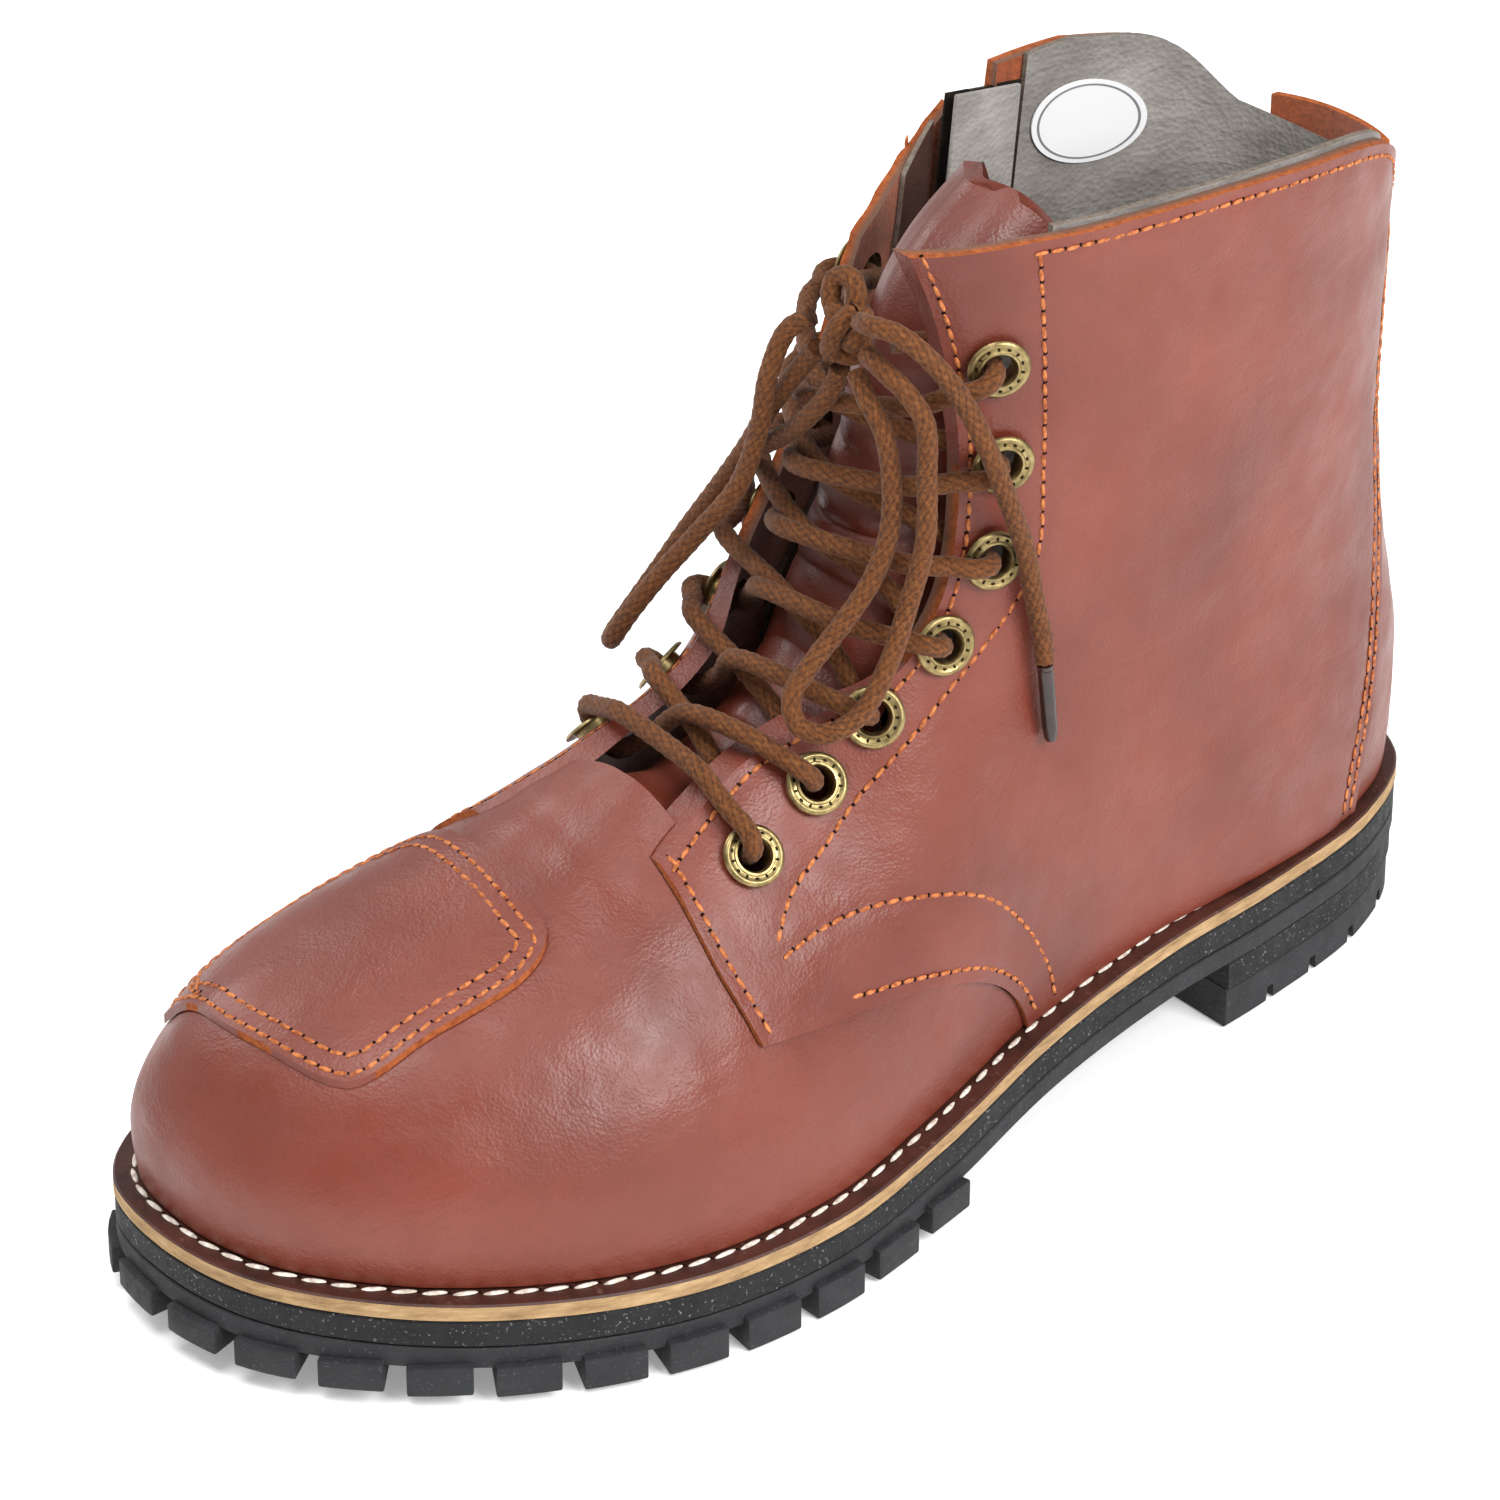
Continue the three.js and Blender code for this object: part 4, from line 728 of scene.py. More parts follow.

LACE = Look("lace_look", 0x6A3D1C, 0.75, specular=0.2)
LACE.tint([(0.3, 0x512C12), (0.55, 0x6C3F1D), (0.8, 0x83522B)], LACE.noise(1000, 3, 0.6))
LACE.surface.inputs["Sheen Weight"].default_value = 0.08
LACE.bump(LACE.noise(2600, 2, 0.5), 0.1, 0.6)
# Painted shade: the cord is darkened where it lies low in the creases between the yarns of its braid.
LACE.stain(0x2A170B, LACE.attribute("crease_shade"))
AGLET = Look("aglet_look", 0x23120B, 0.22, specular=0.6)
AGLET.tint([(0.4, 0x1A0D08), (0.7, 0x2E1A12)], AGLET.noise(200, 2, 0.5))

WELT_TOP = Look("welt_top_look", 0x3C1C15, 0.5, specular=0.4)
WELT_TOP.tint([(0.3, 0x2A120D), (0.7, 0x4E281E)], WELT_TOP.noise(90, 5, 0.65))
WELT_TOP.stain(0x8B6A55, WELT_TOP.levels(WELT_TOP.noise(520, 4, 0.7), 0.6, 0.78, 0.0, 0.5))
WELT_TOP.bump(WELT_TOP.noise(700, 3, 0.6), 0.2, 0.7)
WELT_SIDE = Look("welt_edge_look", 0xA98A63, 0.8, specular=0.2)
WELT_SIDE.tint([(0.3, 0x7F6344), (0.55, 0xA98A63), (0.75, 0xC0A37C)],
               WELT_SIDE.noise(120, 5, 0.7, stretch=(1, 1, 5)))
WELT_SIDE.bump(WELT_SIDE.noise(500, 4, 0.7, stretch=(1, 1, 3)), 0.3, 0.7)


def rubber_look(name, dark, light, speck, specks, scratch=0.0):
    look = Look(name, dark, 0.72, specular=0.35)
    look.tint([(0.35, dark), (0.7, light)], look.noise(150, 4, 0.65))
    look.stain(speck, look.levels(look.noise(1500, 2, 0.5), 0.64, 0.72, 0.0, specks))
    if scratch:
        look.stain(speck, look.levels(look.noise(260, 4, 0.7, stretch=(1, 1, 6)), 0.62, 0.8, 0.0, scratch))
    look.rough(look.noise(300, 3, 0.6), 0.6, 0.85)
    look.bump(look.noise(1200, 3, 0.65), 0.16, 0.7)
    return look


MIDSOLE = rubber_look("midsole_look", 0x0C0C0E, 0x1B1B1E, 0x8F8F8F, 0.55)
OUTSOLE = rubber_look("outsole_look", 0x1E1F21, 0x2B2C2E, 0x7A7A7C, 0.2, 0.22)
FOOTBED = Look("footbed_look", 0x6E6A66, 0.9, specular=0.2)
FOOTBED.bump(FOOTBED.noise(900, 2, 0.5, stretch=(1, 3, 1)), 0.3, 0.8)
LABEL = Look("label_look", 0xE9E9EA, 0.32, specular=0.5)
LABEL.bump(LABEL.noise(500, 2, 0.5), 0.03, 0.4)
LABEL_LINE = Look("label_line_look", 0x7A7A80, 0.5)
LABEL_LINE.bump(LABEL_LINE.noise(500, 2, 0.5), 0.02, 0.3)


def plain_look(name, color, other, scale, rough, metallic=0.0):
    look = Look(name, color, rough, metallic)
    look.tint([(0.3, color), (0.7, other)], look.noise(scale, 4, 0.6))
    look.bump(look.noise(scale * 4, 3, 0.6), 0.15, 0.6)
    return look


STIFFENER = plain_look("stiffener_look", 0xA9967B, 0xC4B295, 160, 0.9)
# Looks of the pieces that keep their plain shapes.
PLAIN_PIECES = {
    "cork_filler": plain_look("cork_look", 0x8C683F, 0xAE8558, 400, 0.95),
    "shank": plain_look("shank_look", 0x8E9094, 0xA8AAAE, 120, 0.35, 1.0),
    "insole_board": plain_look("insole_look", 0x99794F, 0xB28F63, 200, 0.9),
    "toe_stiffener": STIFFENER,
    "heel_counter": STIFFENER,
    "footbed": FOOTBED,
}


# ---- Camera, light and floor ----
# Square lights: name, place and size in metres, power in watts.
LIGHTS = [
    ("key", (1.15, 0.15, 0.95), 0.7, 21),
    ("top", (0.1, -0.5, 1.4), 0.6, 9),
    ("side", (-1.1, -0.3, 0.9), 0.6, 7),
]


def stage_set():
    scene = bpy.context.scene
    camera = bpy.data.cameras.new("camera")
    camera.lens, camera.sensor_width = 167.9, 36
    camera.clip_start, camera.clip_end = 0.05, 20
    holder = bpy.data.objects.new("camera", camera)
    holder.location = (0.8792, -0.7591, 0.7896)
    holder.rotation_euler = Vector((-0.652, 0.550, -0.522)).to_track_quat("-Z", "Y").to_euler()
    scene.collection.objects.link(holder)
    scene.camera = holder
    scene.view_settings.view_transform = "Standard"

    world = bpy.data.worlds.new("studio")
    world.use_nodes = True
    background = world.node_tree.nodes["Background"]
    background.inputs["Color"].default_value = (1, 1, 1, 1)
    background.inputs["Strength"].default_value = 0.55
    scene.world = world

    for name, at, size, power in LIGHTS:
        light = bpy.data.lights.new(name, "AREA")
        light.shape, light.size, light.energy = "SQUARE", size, power
        lamp = bpy.data.objects.new(name, light)
        lamp.location = at
        lamp.rotation_euler = (Vector((0, 0, 0.08)) - Vector(at)).to_track_quat("-Z", "Y").to_euler()
        scene.collection.objects.link(lamp)

    bm = bmesh.new()
    bmesh.ops.create_grid(bm, x_segments=2, y_segments=2, size=4000)
    look = plain_look("floor_look", 0xFDFDFD, 0xFFFFFF, 3, 0.95)
    look.surface.inputs["Emission Color"].default_value = (1, 1, 1, 1)
    look.surface.inputs["Emission Strength"].default_value = 0.25
    floor = new_object("floor", bm, look.material)
    for vert in floor.data.vertices:
        vert.co.z = -0.0004


stage_set()


# ---- Eyelet places and lace routes ----
def seat(p, n):
    """How far out an eyelet sits for its whole rim to clear the leather."""
    across = np.cross([0, 0, 1], n)
    across /= np.linalg.norm(across)
    up = np.cross(n, across)
    a = np.radians(45 * np.arange(8))
    rim = p + EYELET_RADIUS * (np.outer(np.cos(a), across) + np.outer(np.sin(a), up))
    return max(0, -body(rim).min()) + 3 * GAP


def eyelet_places():
    places = {}
    for side, yz in EYELETS.items():
        points, normals = side_points(side, yz)
        for row, (p, n) in enumerate(zip(points, normals), 1):
            places[side, row] = (p + n * seat(p, n), n)
    return places


PLACES = eyelet_places()
OVER = [(9, 4.9), (5, 4.95), (2.4, 4.5), (0.9, 2.6), (0.7, 0.2)]
UNDER_LEATHER = [(0.9, -1.9), (1.8, -4.6), (5, -6)]
NEAR_RING = 7
FACING_REACH = 15.5
CROSS_HIGH, CROSS_LOW = -0.3, -4.9
ROWS = 7
KNOT = np.array([11, -2.6, 176.5])
KNOT_EXIT = {"lateral": (5.6, 6, -2.6), "medial": (-5.6, 6, -1.6)}


def off_surface(p, way, height):
    q = leaves((p - 36 * way)[None], way[None])
    return (q + body_normal(q) * height)[0]


def crossing(row, height):
    around = [PLACES[side, k] for side in SIDES for k in (row, row + 1)]
    middle = np.mean([p for p, _ in around], axis=0)
    way = np.sum([n for _, n in around], axis=0)
    return off_surface(middle, way / np.linalg.norm(way), height)


def thread(side, row, target, table):
    """Cord points from one eyelet towards `target`: distance out and height over the leather for each."""
    p, n = PLACES[side, row]
    way = target - p
    way = way - n * (way @ n)
    way /= np.linalg.norm(way)
    return [p + way * s + n * h if s < NEAR_RING else off_surface(p + way * s, n, h) for s, h in table]


def strand(side, row):
    """One cord from under an eyelet across the tongue, then over and down through the next eyelet."""
    cross = crossing(row, CROSS_HIGH if side == "medial" else CROSS_LOW)
    return (thread(side, row, cross, UNDER_LEATHER + [(FACING_REACH, -4.9)]) + [cross]
            + thread(OTHER[side], row + 1, cross, [(FACING_REACH, 4.3)] + OVER))


def laced_route():
    ends, halves = {}, {}
    for side in SIDES:
        points, at = [], side
        for row in range(1, ROWS):
            points += strand(at, row)
            at = OTHER[at]
        exit_at = KNOT + KNOT_EXIT[at]
        halves[side] = points
        ends[side] = thread(at, ROWS, exit_at, UNDER_LEATHER + [(FACING_REACH - 2, -4.9)]) + [exit_at]
    middle = (PLACES["lateral", 1][0] + PLACES["medial", 1][0]) / 2
    bar = {side: thread(side, 1, middle, [(18, 3.6), (FACING_REACH, 3.9)] + OVER) for side in SIDES}
    return (ends["lateral"][::-1] + halves["lateral"][::-1] + bar["lateral"][::-1]
            + bar["medial"] + halves["medial"] + ends["medial"])


BOW_LOOP_LATERAL = [
    (18.9, -5.1, 175.8), (24, -5.6, 174.6), (28.5, -3.4, 170.6), (31.3, -1.4, 164.7), (32, -1.4, 153.6),
    (33.3, -2.7, 141.3), (33.1, -6.8, 128.1), (33.4, -11.6, 118), (33.4, -18.4, 109.6), (30.6, -24.4, 106.2),
    (26, -27.6, 107.4), (22.8, -26.4, 111.8), (22.6, -21.2, 117), (23.6, -15.2, 123), (25.4, -9.1, 131.5),
    (26.2, -5.6, 140.5), (25.3, -4.2, 151.2), (23.5, -5, 161.5), (20, -6.4, 168), (16.1, -5.1, 170.4),
]
BOW_LOOP_MEDIAL = [
    (3.1, -5.1, 177.2), (-1, -7.4, 173.4), (-3.4, -10, 164), (-5.4, -10.6, 152), (-9.6, -12.4, 138),
    (-16.4, -16.4, 126.6), (-23, -20.4, 116), (-28.6, -23.8, 106), (-33.2, -24.6, 98.4), (-37.6, -20.2, 96.6),
    (-38, -14.6, 101), (-34.6, -11, 109), (-29.4, -8.4, 119), (-22.6, -6.6, 130), (-15, -5.6, 142),
    (-8.6, -5.4, 153), (-2.4, -5, 162), (1.6, -4.8, 167.4), (4.95, -5.1, 171.4),
]
LACE_END_LATERAL = [
    (17.05, -5.1, 181.6), (22.4, -7, 183.6), (27.8, -4.8, 183), (32.4, 0.6, 176.2), (34.8, 5.6, 167.4),
    (37.2, 9.4, 157.4), (38.2, 13.3, 146.6), (37.6, 18.9, 132.6), (37.6, 21.7, 120.3), (37.7, 23.9, 110.9),
    (37.8, 24.3, 106.9),
]
LACE_END_MEDIAL = [
    (10.3, -4.1, 168.6), (8, -4.6, 163), (2, -4.4, 155.4), (-7, -2.8, 147), (-17, -0.4, 139.4),
    (-27.6, 3.6, 131.4), (-34.6, 10.2, 121.4), (-38.6, 14.6, 112), (-39.4, 16.6, 104),
]

BRAID_ROUND, BRAID_LONG, BRAID_HIGH = 8, 3.1, 0.17
CORD_SIDES = 28


def route_frames(points, step, closed=False):
    """A route resampled at `step`, with two directions across it at each point."""
    line = spline(points, 24, closed)
    line = resampled(line, max(8, int(length_of(line) / step)), closed)
    if closed:
        line = np.vstack([line, line[:1]])
    way = unit(np.gradient(line, axis=0))
    across = np.empty_like(line)
    a = np.cross(way[0], [0.31, 0.2, 0.93])
    for i, t in enumerate(way):
        a = a - t * (a @ t)
        a /= np.linalg.norm(a)
        across[i] = a
    return line, across, np.cross(way, across)


def braided(node, routes, step=0.45):
    """One object of braided cord along `routes`, with painted shade for the creases of the braid kept as an
    attribute.
    """
    cords = []
    for points, closed in routes:
        line, a, b = route_frames(points, step, closed)
        s = np.arange(len(line))[:, None] * step
        turn = np.linspace(0, 2 * math.pi, CORD_SIDES + 1)[None, :]
        yarn, along = BRAID_ROUND * turn / (2 * math.pi), s / BRAID_LONG
        p, q = yarn + along, yarn - along
        pile = np.abs(np.sin(math.pi * p) * np.sin(math.pi * q)) ** 0.6
        r = (LACE_RADIUS - BRAID_HIGH + 1.5 * BRAID_HIGH * pile)[..., None]
        ring = line[:, None] + a[:, None] * r * np.cos(turn)[..., None]
        ring = ring + b[:, None] * r * np.sin(turn)[..., None]
        # Painted shade: the lower a point lies between the yarns, the darker the lace is painted there.
        cords.append(grid_mesh(ring, wrap_v=True, caps=not closed, values=np.clip(0.9 - 1.5 * pile, 0, 0.8)))
    obj = new_object(node + "_braid", joined(cords), LACE.material)
    shade(obj, 80)
    return placed(obj, "lace_cord", node)


def free_lace(name, route):
    obj = braided(name, [(route, False)])
    line = route_frames(route, 2.0)[0]
    return obj


AGLET_PROFILE = [
    (0, 0), (1.25, 0), (1.6, 0.25), (1.6, 0.9), (1.45, 1.15), (1.55, 1.5), (1.55, 13.6), (1.3, 16.2),
    (1.0, 16.8), (0, 17),
]


def aglet(side, route, drop):
    """The stiff tip of a free end: a pressed sleeve with a rolled mouth and a blunt point."""
    way = Vector(drop).normalized()
    bm = stood_on(spun(AGLET_PROFILE, 24), way, Vector(route[-1]) + way * 2 * GAP)
    obj = new_object(f"aglet_{side}_sleeve", bm, AGLET.material)
    shade(obj, 40)
    return placed(obj, "aglet", f"aglet_{side}")


def spun(profile, steps, closed=False):
    """A solid of revolution about Z from a profile of radius and height."""
    bm = bmesh.new()
    verts = [bm.verts.new((r, 0, h)) for r, h in profile]
    edges = [bm.edges.new(pair) for pair in zip(verts, verts[1:])]
    if closed:
        edges.append(bm.edges.new((verts[-1], verts[0])))
    bmesh.ops.spin(bm, geom=verts + edges, cent=(0, 0, 0), axis=(0, 0, 1), angle=2 * math.pi, steps=steps,
                   use_merge=True)
    bmesh.ops.remove_doubles(bm, verts=bm.verts, dist=1e-4)
    bmesh.ops.recalc_face_normals(bm, faces=bm.faces)
    return bm


def lace_knot():
    """The bow's knot: a crossed winding and a small loop that stands up beside it."""
    t = np.linspace(0, 2 * math.pi, 40, endpoint=False)
    winding = KNOT + np.stack([1.5 * (np.sin(t) + 2 * np.sin(2 * t)), -1.7 * np.sin(3 * t),
                               1.75 * (np.cos(t) - 2 * np.cos(2 * t))], axis=1)
    band = KNOT + np.stack([2.2 * np.cos(t), -1.2 + 2.9 * np.sin(t), 4.9 * np.cos(t)], axis=1)
    standing = KNOT + np.array([(-2.5, -0.8, 2), (-4.6, -0.6, 5.5), (-4.6, 0.6, 9), (-1.6, 1.4, 10.2),
                                (0.8, 1.2, 7.6), (0.6, 0.2, 3.6)])
    braided("lace_knot", [(winding, True), (band, True), (standing, False)], step=0.4)


braided("lace_laced", [(laced_route(), False)], step=0.5)
lace_knot()
free_lace("bow_loop_lateral", BOW_LOOP_LATERAL)
free_lace("bow_loop_medial", BOW_LOOP_MEDIAL)
tip_lateral = aglet("lateral", LACE_END_LATERAL, (1.4, 0.8, -17))
tip_medial = aglet("medial", LACE_END_MEDIAL, (0.8, 1.6, -17))
free_lace("lace_end_lateral", LACE_END_LATERAL)
free_lace("lace_end_medial", LACE_END_MEDIAL)


# ---- Upper ----
SEAMS_LATERAL = [
    [(23.2, 194), (25.2, 171), (26.3, 147), (25.1, 128), (19.8, 118.5), (11.7, 110.2), (-1.4, 101.2),
     (-14.4, 91.5), (-26, 83), (-36.4, 77.1), (-43.3, 70.6)],
    [(-43.5, 68.1), (-33.1, 70.3), (-21.3, 71), (-9.4, 69.8), (0.4, 66.5), (8.9, 60.6), (18.1, 49.7),
     (25.1, 36.7), (27, 30.5)],
]
INSET = 2.6
NEAR_ZIP, FAR_FROM_ZIP = ZIP_HALF_SLIT + 2.2, ZIP_HALF_SLIT + 9


def inset_run(run, by=INSET):
    """A run of an outline moved sideways by `by`, to its right as it goes."""
    line = resampled(spline(run, 12), 60)
    way = unit(np.gradient(line, axis=0))
    return line + by * np.stack([way[:, 1], -way[:, 0]], axis=1)


def beside_zip(by, top, foot):
    """A line along the zip, `by` behind its middle, between two heights."""
    return np.array([zip_edge(z, by) for z in np.linspace(top, foot, 30)])


# Sewn lines in side view for each side. The stitches are made in this order.
STITCHED = {
    "lateral": [
        *map(inset_run, (FACING_EDGE["lateral"], LATERAL_TOP, WING_EDGE, SEAM)), inset_run(SEAM, 2 * INSET),
        *(spline(run, 8) for run in SEAMS_LATERAL), inset_run(FACING_FRONT["lateral"]),
    ],
    "medial": [
        *map(inset_run, (FACING_EDGE["medial"], MEDIAL_FRONT_TOP, WING_EDGE, MEDIAL_REAR_TOP, SEAM)),
        inset_run(SEAM, 2 * INSET), beside_zip(-NEAR_ZIP, 179, 42), beside_zip(NEAR_ZIP, 184, 42),
        beside_zip(-FAR_FROM_ZIP, 178, 40), beside_zip(FAR_FROM_ZIP, 185, 40),
        inset_run(FACING_FRONT["medial"]),
    ],
}


def wrinkle(q, size, seed):
    """Smooth noise at points in millimetres, at a scale of `size`."""
    return np.array([noise.noise(Vector((x / size + seed, y / size, z / size * 1.3))) for x, y, z in q])


def quarter_relief(points, normals, side):
    """Grain, a groove along each sewn line, and ripples under the collar."""
    out = 0.22 * wrinkle(points, 13, 3) + 0.12 * wrinkle(points, 5, 9)
    near = np.full(len(points), 9.0)
    for line in STITCHED[side]:
        near = np.minimum(near, distance_to(points[:, 1:], line[::3] if len(line) > 40 else line))
    groove = -0.3 * np.exp(-(near**2))
    y, z = points[:, 1], points[:, 2]
    collar = fade(z, 150, 20) * fade(y, 24, 10) * fade(74 - y, 0, 12)
    ripples = 0.16 * collar * np.sin(z * 0.5 + y * 0.6 + 2 * wrinkle(points, 16, 5))
    return out + groove + ripples


def vamp_relief(points, normals, side):
    """Grain, and soft folds where the foot bends."""
    out = 0.25 * wrinkle(points, 15, 3) + 0.1 * wrinkle(points, 5, 9)
    y = points[:, 1]
    flex = np.exp(-(((y + 62) / 16) ** 2)) * fade(points[:, 2], 35, 20)
    return out + 0.1 * flex * np.sin(y * 0.62 + 2 * wrinkle(points, 30, 1))


QUARTER_SHELL = shell(LEATHER_IN, QUARTER_OUT, quarter_relief)
VAMP_SHELL = shell(LEATHER_IN, VAMP_OUT, vamp_relief)
# How far a cut in side view reaches across the boot.
LATERAL_SIDE, MEDIAL_SIDE, BOTH_SIDES = (0, 90), (-90, 0), (-90, 90)
X_RANGE = {
    "quarter_lateral": LATERAL_SIDE, "quarter_medial_front": MEDIAL_SIDE, "quarter_medial_rear": MEDIAL_SIDE,
}
LEATHER_FACES = [LEATHER.material, RAW_EDGE.material, SUEDE.material]
BARREL = EYELET_HOLE + 0.8 + GAP


def drills():
    """One cutter with a rod through every eyelet place."""
    rod = [(0, -12), (BARREL, -12), (BARREL, 12), (0, 12)]
    return [joined([stood_on(spun(rod, 20), n, p) for p, n in PLACES.values()])]


for name, points in PANELS.items():
    drill = [] if name == "quarter_medial_rear" else drills()
    skin(name, "leather", "upper_leather", QUARTER_SHELL, LEATHER_FACES, [prism(points, *X_RANGE[name], "X")],
         drill)


def under_quarters(name, side_view):
    """A panel that stops just short of the quarters all round."""
    cutters = [prism(grown(p, GAP), X_RANGE[n][0] - GAP, X_RANGE[n][1] + GAP, "X") for n, p in PANELS.items()]
    skin(name, "leather", "upper_leather", VAMP_SHELL, LEATHER_FACES, [prism(side_view, *BOTH_SIDES, "X")],
         cutters)


under_quarters("vamp", [(-170, 0), (-170, 140), (-50, 140), (-50, 66), (21, 66), (21, 0)])
under_quarters("heel_panel", [(110, 0), (110, 152), (132, 155), (140, 158), (170, 158), (170, 0)])
patch_outline = smooth_outline([TOE_PATCH + TOE_PATCH[:1]], 6)
PATCH_OUT = VAMP_OUT + GAP + 1.3
patch_shell = shell(VAMP_OUT + GAP, PATCH_OUT, lambda p, n, side: 0.12 * wrinkle(p, 8, 2))
skin("toe_patch", "leather", "upper_leather", patch_shell, LEATHER_FACES,
     [prism(patch_outline, 50, 120, "Z")])
tab_side = [(110, 120), (110, 160), (125, 172), (150, 172), (150, 120)]
tab_plan = [(-17, 110), (13, 110), (13, 150), (-17, 150)]
skin("pull_tab", "suede", "suede", shell(QUARTER_OUT + GAP, QUARTER_OUT + GAP + 1.4), LEATHER_FACES,
     [prism(tab_side, *BOTH_SIDES, "X"), prism(tab_plan, 110, 180, "Z")])

# ---- Linings ----
LINING_RISE = 1.2
LININGS = [LINING_LOOK.material, LINING_EDGE.material, LINING_LOOK.material]
LINING_FOOT_Z = 73.4


def higher(points):
    return [(y, z + LINING_RISE) for y, z in points]


lateral_lining = smooth_outline([
    [(8, 66), (4, 90), (6, 105), (13, 114), (23.5, 128), (26.5, 150), (26, 172), (27, 197.7)],
    higher(LATERAL_TOP[1:]), [(150, 158)], [(150, LINING_FOOT_Z), (56, LINING_FOOT_Z)],
])
rear_lining = smooth_outline([
    [zip_edge(LINING_FOOT_Z, ZIP_CLEAR), zip_edge(188, ZIP_CLEAR)], higher(MEDIAL_REAR_TOP),
    [(150, 158), (150, LINING_FOOT_Z)],
])
front_lining = smooth_outline([
    [(16, LINING_FOOT_Z), (10, 88), (11, 101), (20, 112), (32, 127), (41, 142), (47, 156), (52, 173)],
    [zip_edge(181, -ZIP_CLEAR), zip_edge(LINING_FOOT_Z, -ZIP_CLEAR)],
])


def lining_relief(points, normals, side):
    return 0.15 * wrinkle(points, 11, 4)


lining_shell = shell(*LINING, lining_relief)
foot_shell = shell(*FOOT_LINING)
halves = [panel("half", lining_shell, LININGS, [prism(side_view, *side, "X")])
          for side_view, side in ((lateral_lining, LATERAL_SIDE), (rear_lining, MEDIAL_SIDE))]
with bpy.context.temp_override(active_object=halves[0], selected_editable_objects=halves):
    bpy.ops.object.join()
halves[0].name = "shaft_lining_skin"
placed(halves[0], "lining_leather", "shaft_lining")
skin("medial_front_lining", "skin", "lining_leather", lining_shell,
     [LINING_LOOK.material, LINING_EDGE.material, FACING_BACK.material],
     [prism(front_lining, *MEDIAL_SIDE, "X")])
vamp_side = [(-170, 0), (-170, 140), (-60, 140), (-60, 76), (10, 60), (10, 0)]
skin("vamp_lining", "skin", "lining_leather", foot_shell, LININGS, [prism(vamp_side, *BOTH_SIDES, "X")])
heel_side = [(10.4, 0), (10.4, 60), (60, 73), (170, 73), (170, 0)]
zip_window = [zip_edge(z, by * ZIP_CLEAR) for z, by in ((44, -1), (80, -1), (80, 1), (44, 1))]
skin("heel_lining", "skin", "lining_leather", foot_shell, LININGS, [prism(heel_side, *BOTH_SIDES, "X")],
     [prism(zip_window, *MEDIAL_SIDE, "X")])

# ---- Size label: a blank oval with a thin printed border ----
LABEL_FACE = LINING[0] - GAP
LABEL_THICK, PRINT_OUT = 0.3, 0.38


def label_oval(scale):
    tilt = math.radians(-8)
    t = np.linspace(0, 2 * math.pi, 64, endpoint=False)
    u, w = 12.5 * scale * np.cos(t), 8.8 * scale * np.sin(t)
    y = 98 + u * math.cos(tilt) - w * math.sin(tilt)
    z = 171 + u * math.sin(tilt) + w * math.cos(tilt)
    return np.stack([y, z], axis=1)


skin("care_label", "blank", "label_paper", shell(LABEL_FACE - LABEL_THICK, LABEL_FACE), [LABEL.material] * 3,
     [prism(label_oval(1), *MEDIAL_SIDE, "X")])
border_shell = shell(LABEL_FACE - PRINT_OUT, LABEL_FACE - LABEL_THICK)
border = panel("care_label_border", border_shell, [LABEL_LINE.material] * 3,
               [prism(label_oval(0.9), *MEDIAL_SIDE, "X")], [prism(label_oval(0.86), -91, 1, "X")])
placed(border, "label_paper")

# ---- Tongue: a padded leaf with ribs across it ----
TONGUE_X = (-26, 30)
TONGUE_THICK, TONGUE_EDGE = 3.6, 1.3
TONGUE_COLUMNS = 48
# Rows up the throat: start y and z, lean of the ray in degrees, depth under the surface, shift back.
TONGUE_ROWS = np.array([
    (-50, 40, 90, 1.8, 0), (-47, 40, 90, 5.6, 0), (-41, 42, 90, 9.6, 0), (-28, 50, 84, 10.3, 0),
    (-10, 60, 70, 10.3, 0), (10, 75, 55, 10.3, 0), (30, 95, 35, 10.3, 0), (40, 118, 15, 10.3, 0),
    (50, 138, 0, 10.3, 0), (50, 154, 0, 10.3, 0), (50, 168, 0, 10.3, 3), (50, 181, 0, 10.3, 12),
    (50, 192, 0, 10.3, 27),
])
RIBS_FROM, RIBS_TO, RIB_PITCH = 5.0, 9.6, 1.15


def evened(points, reach=6):
    """The same sheet with its sharp turns across the rows smoothed out."""
    wide = np.concatenate([2 * points[:, :1] - points[:, reach:0:-1], points,
                           2 * points[:, -1:] - points[:, -2:-2 - reach:-1]], axis=1)
    return np.mean([wide[:, k:k + points.shape[1]] for k in range(2 * reach + 1)], axis=0)


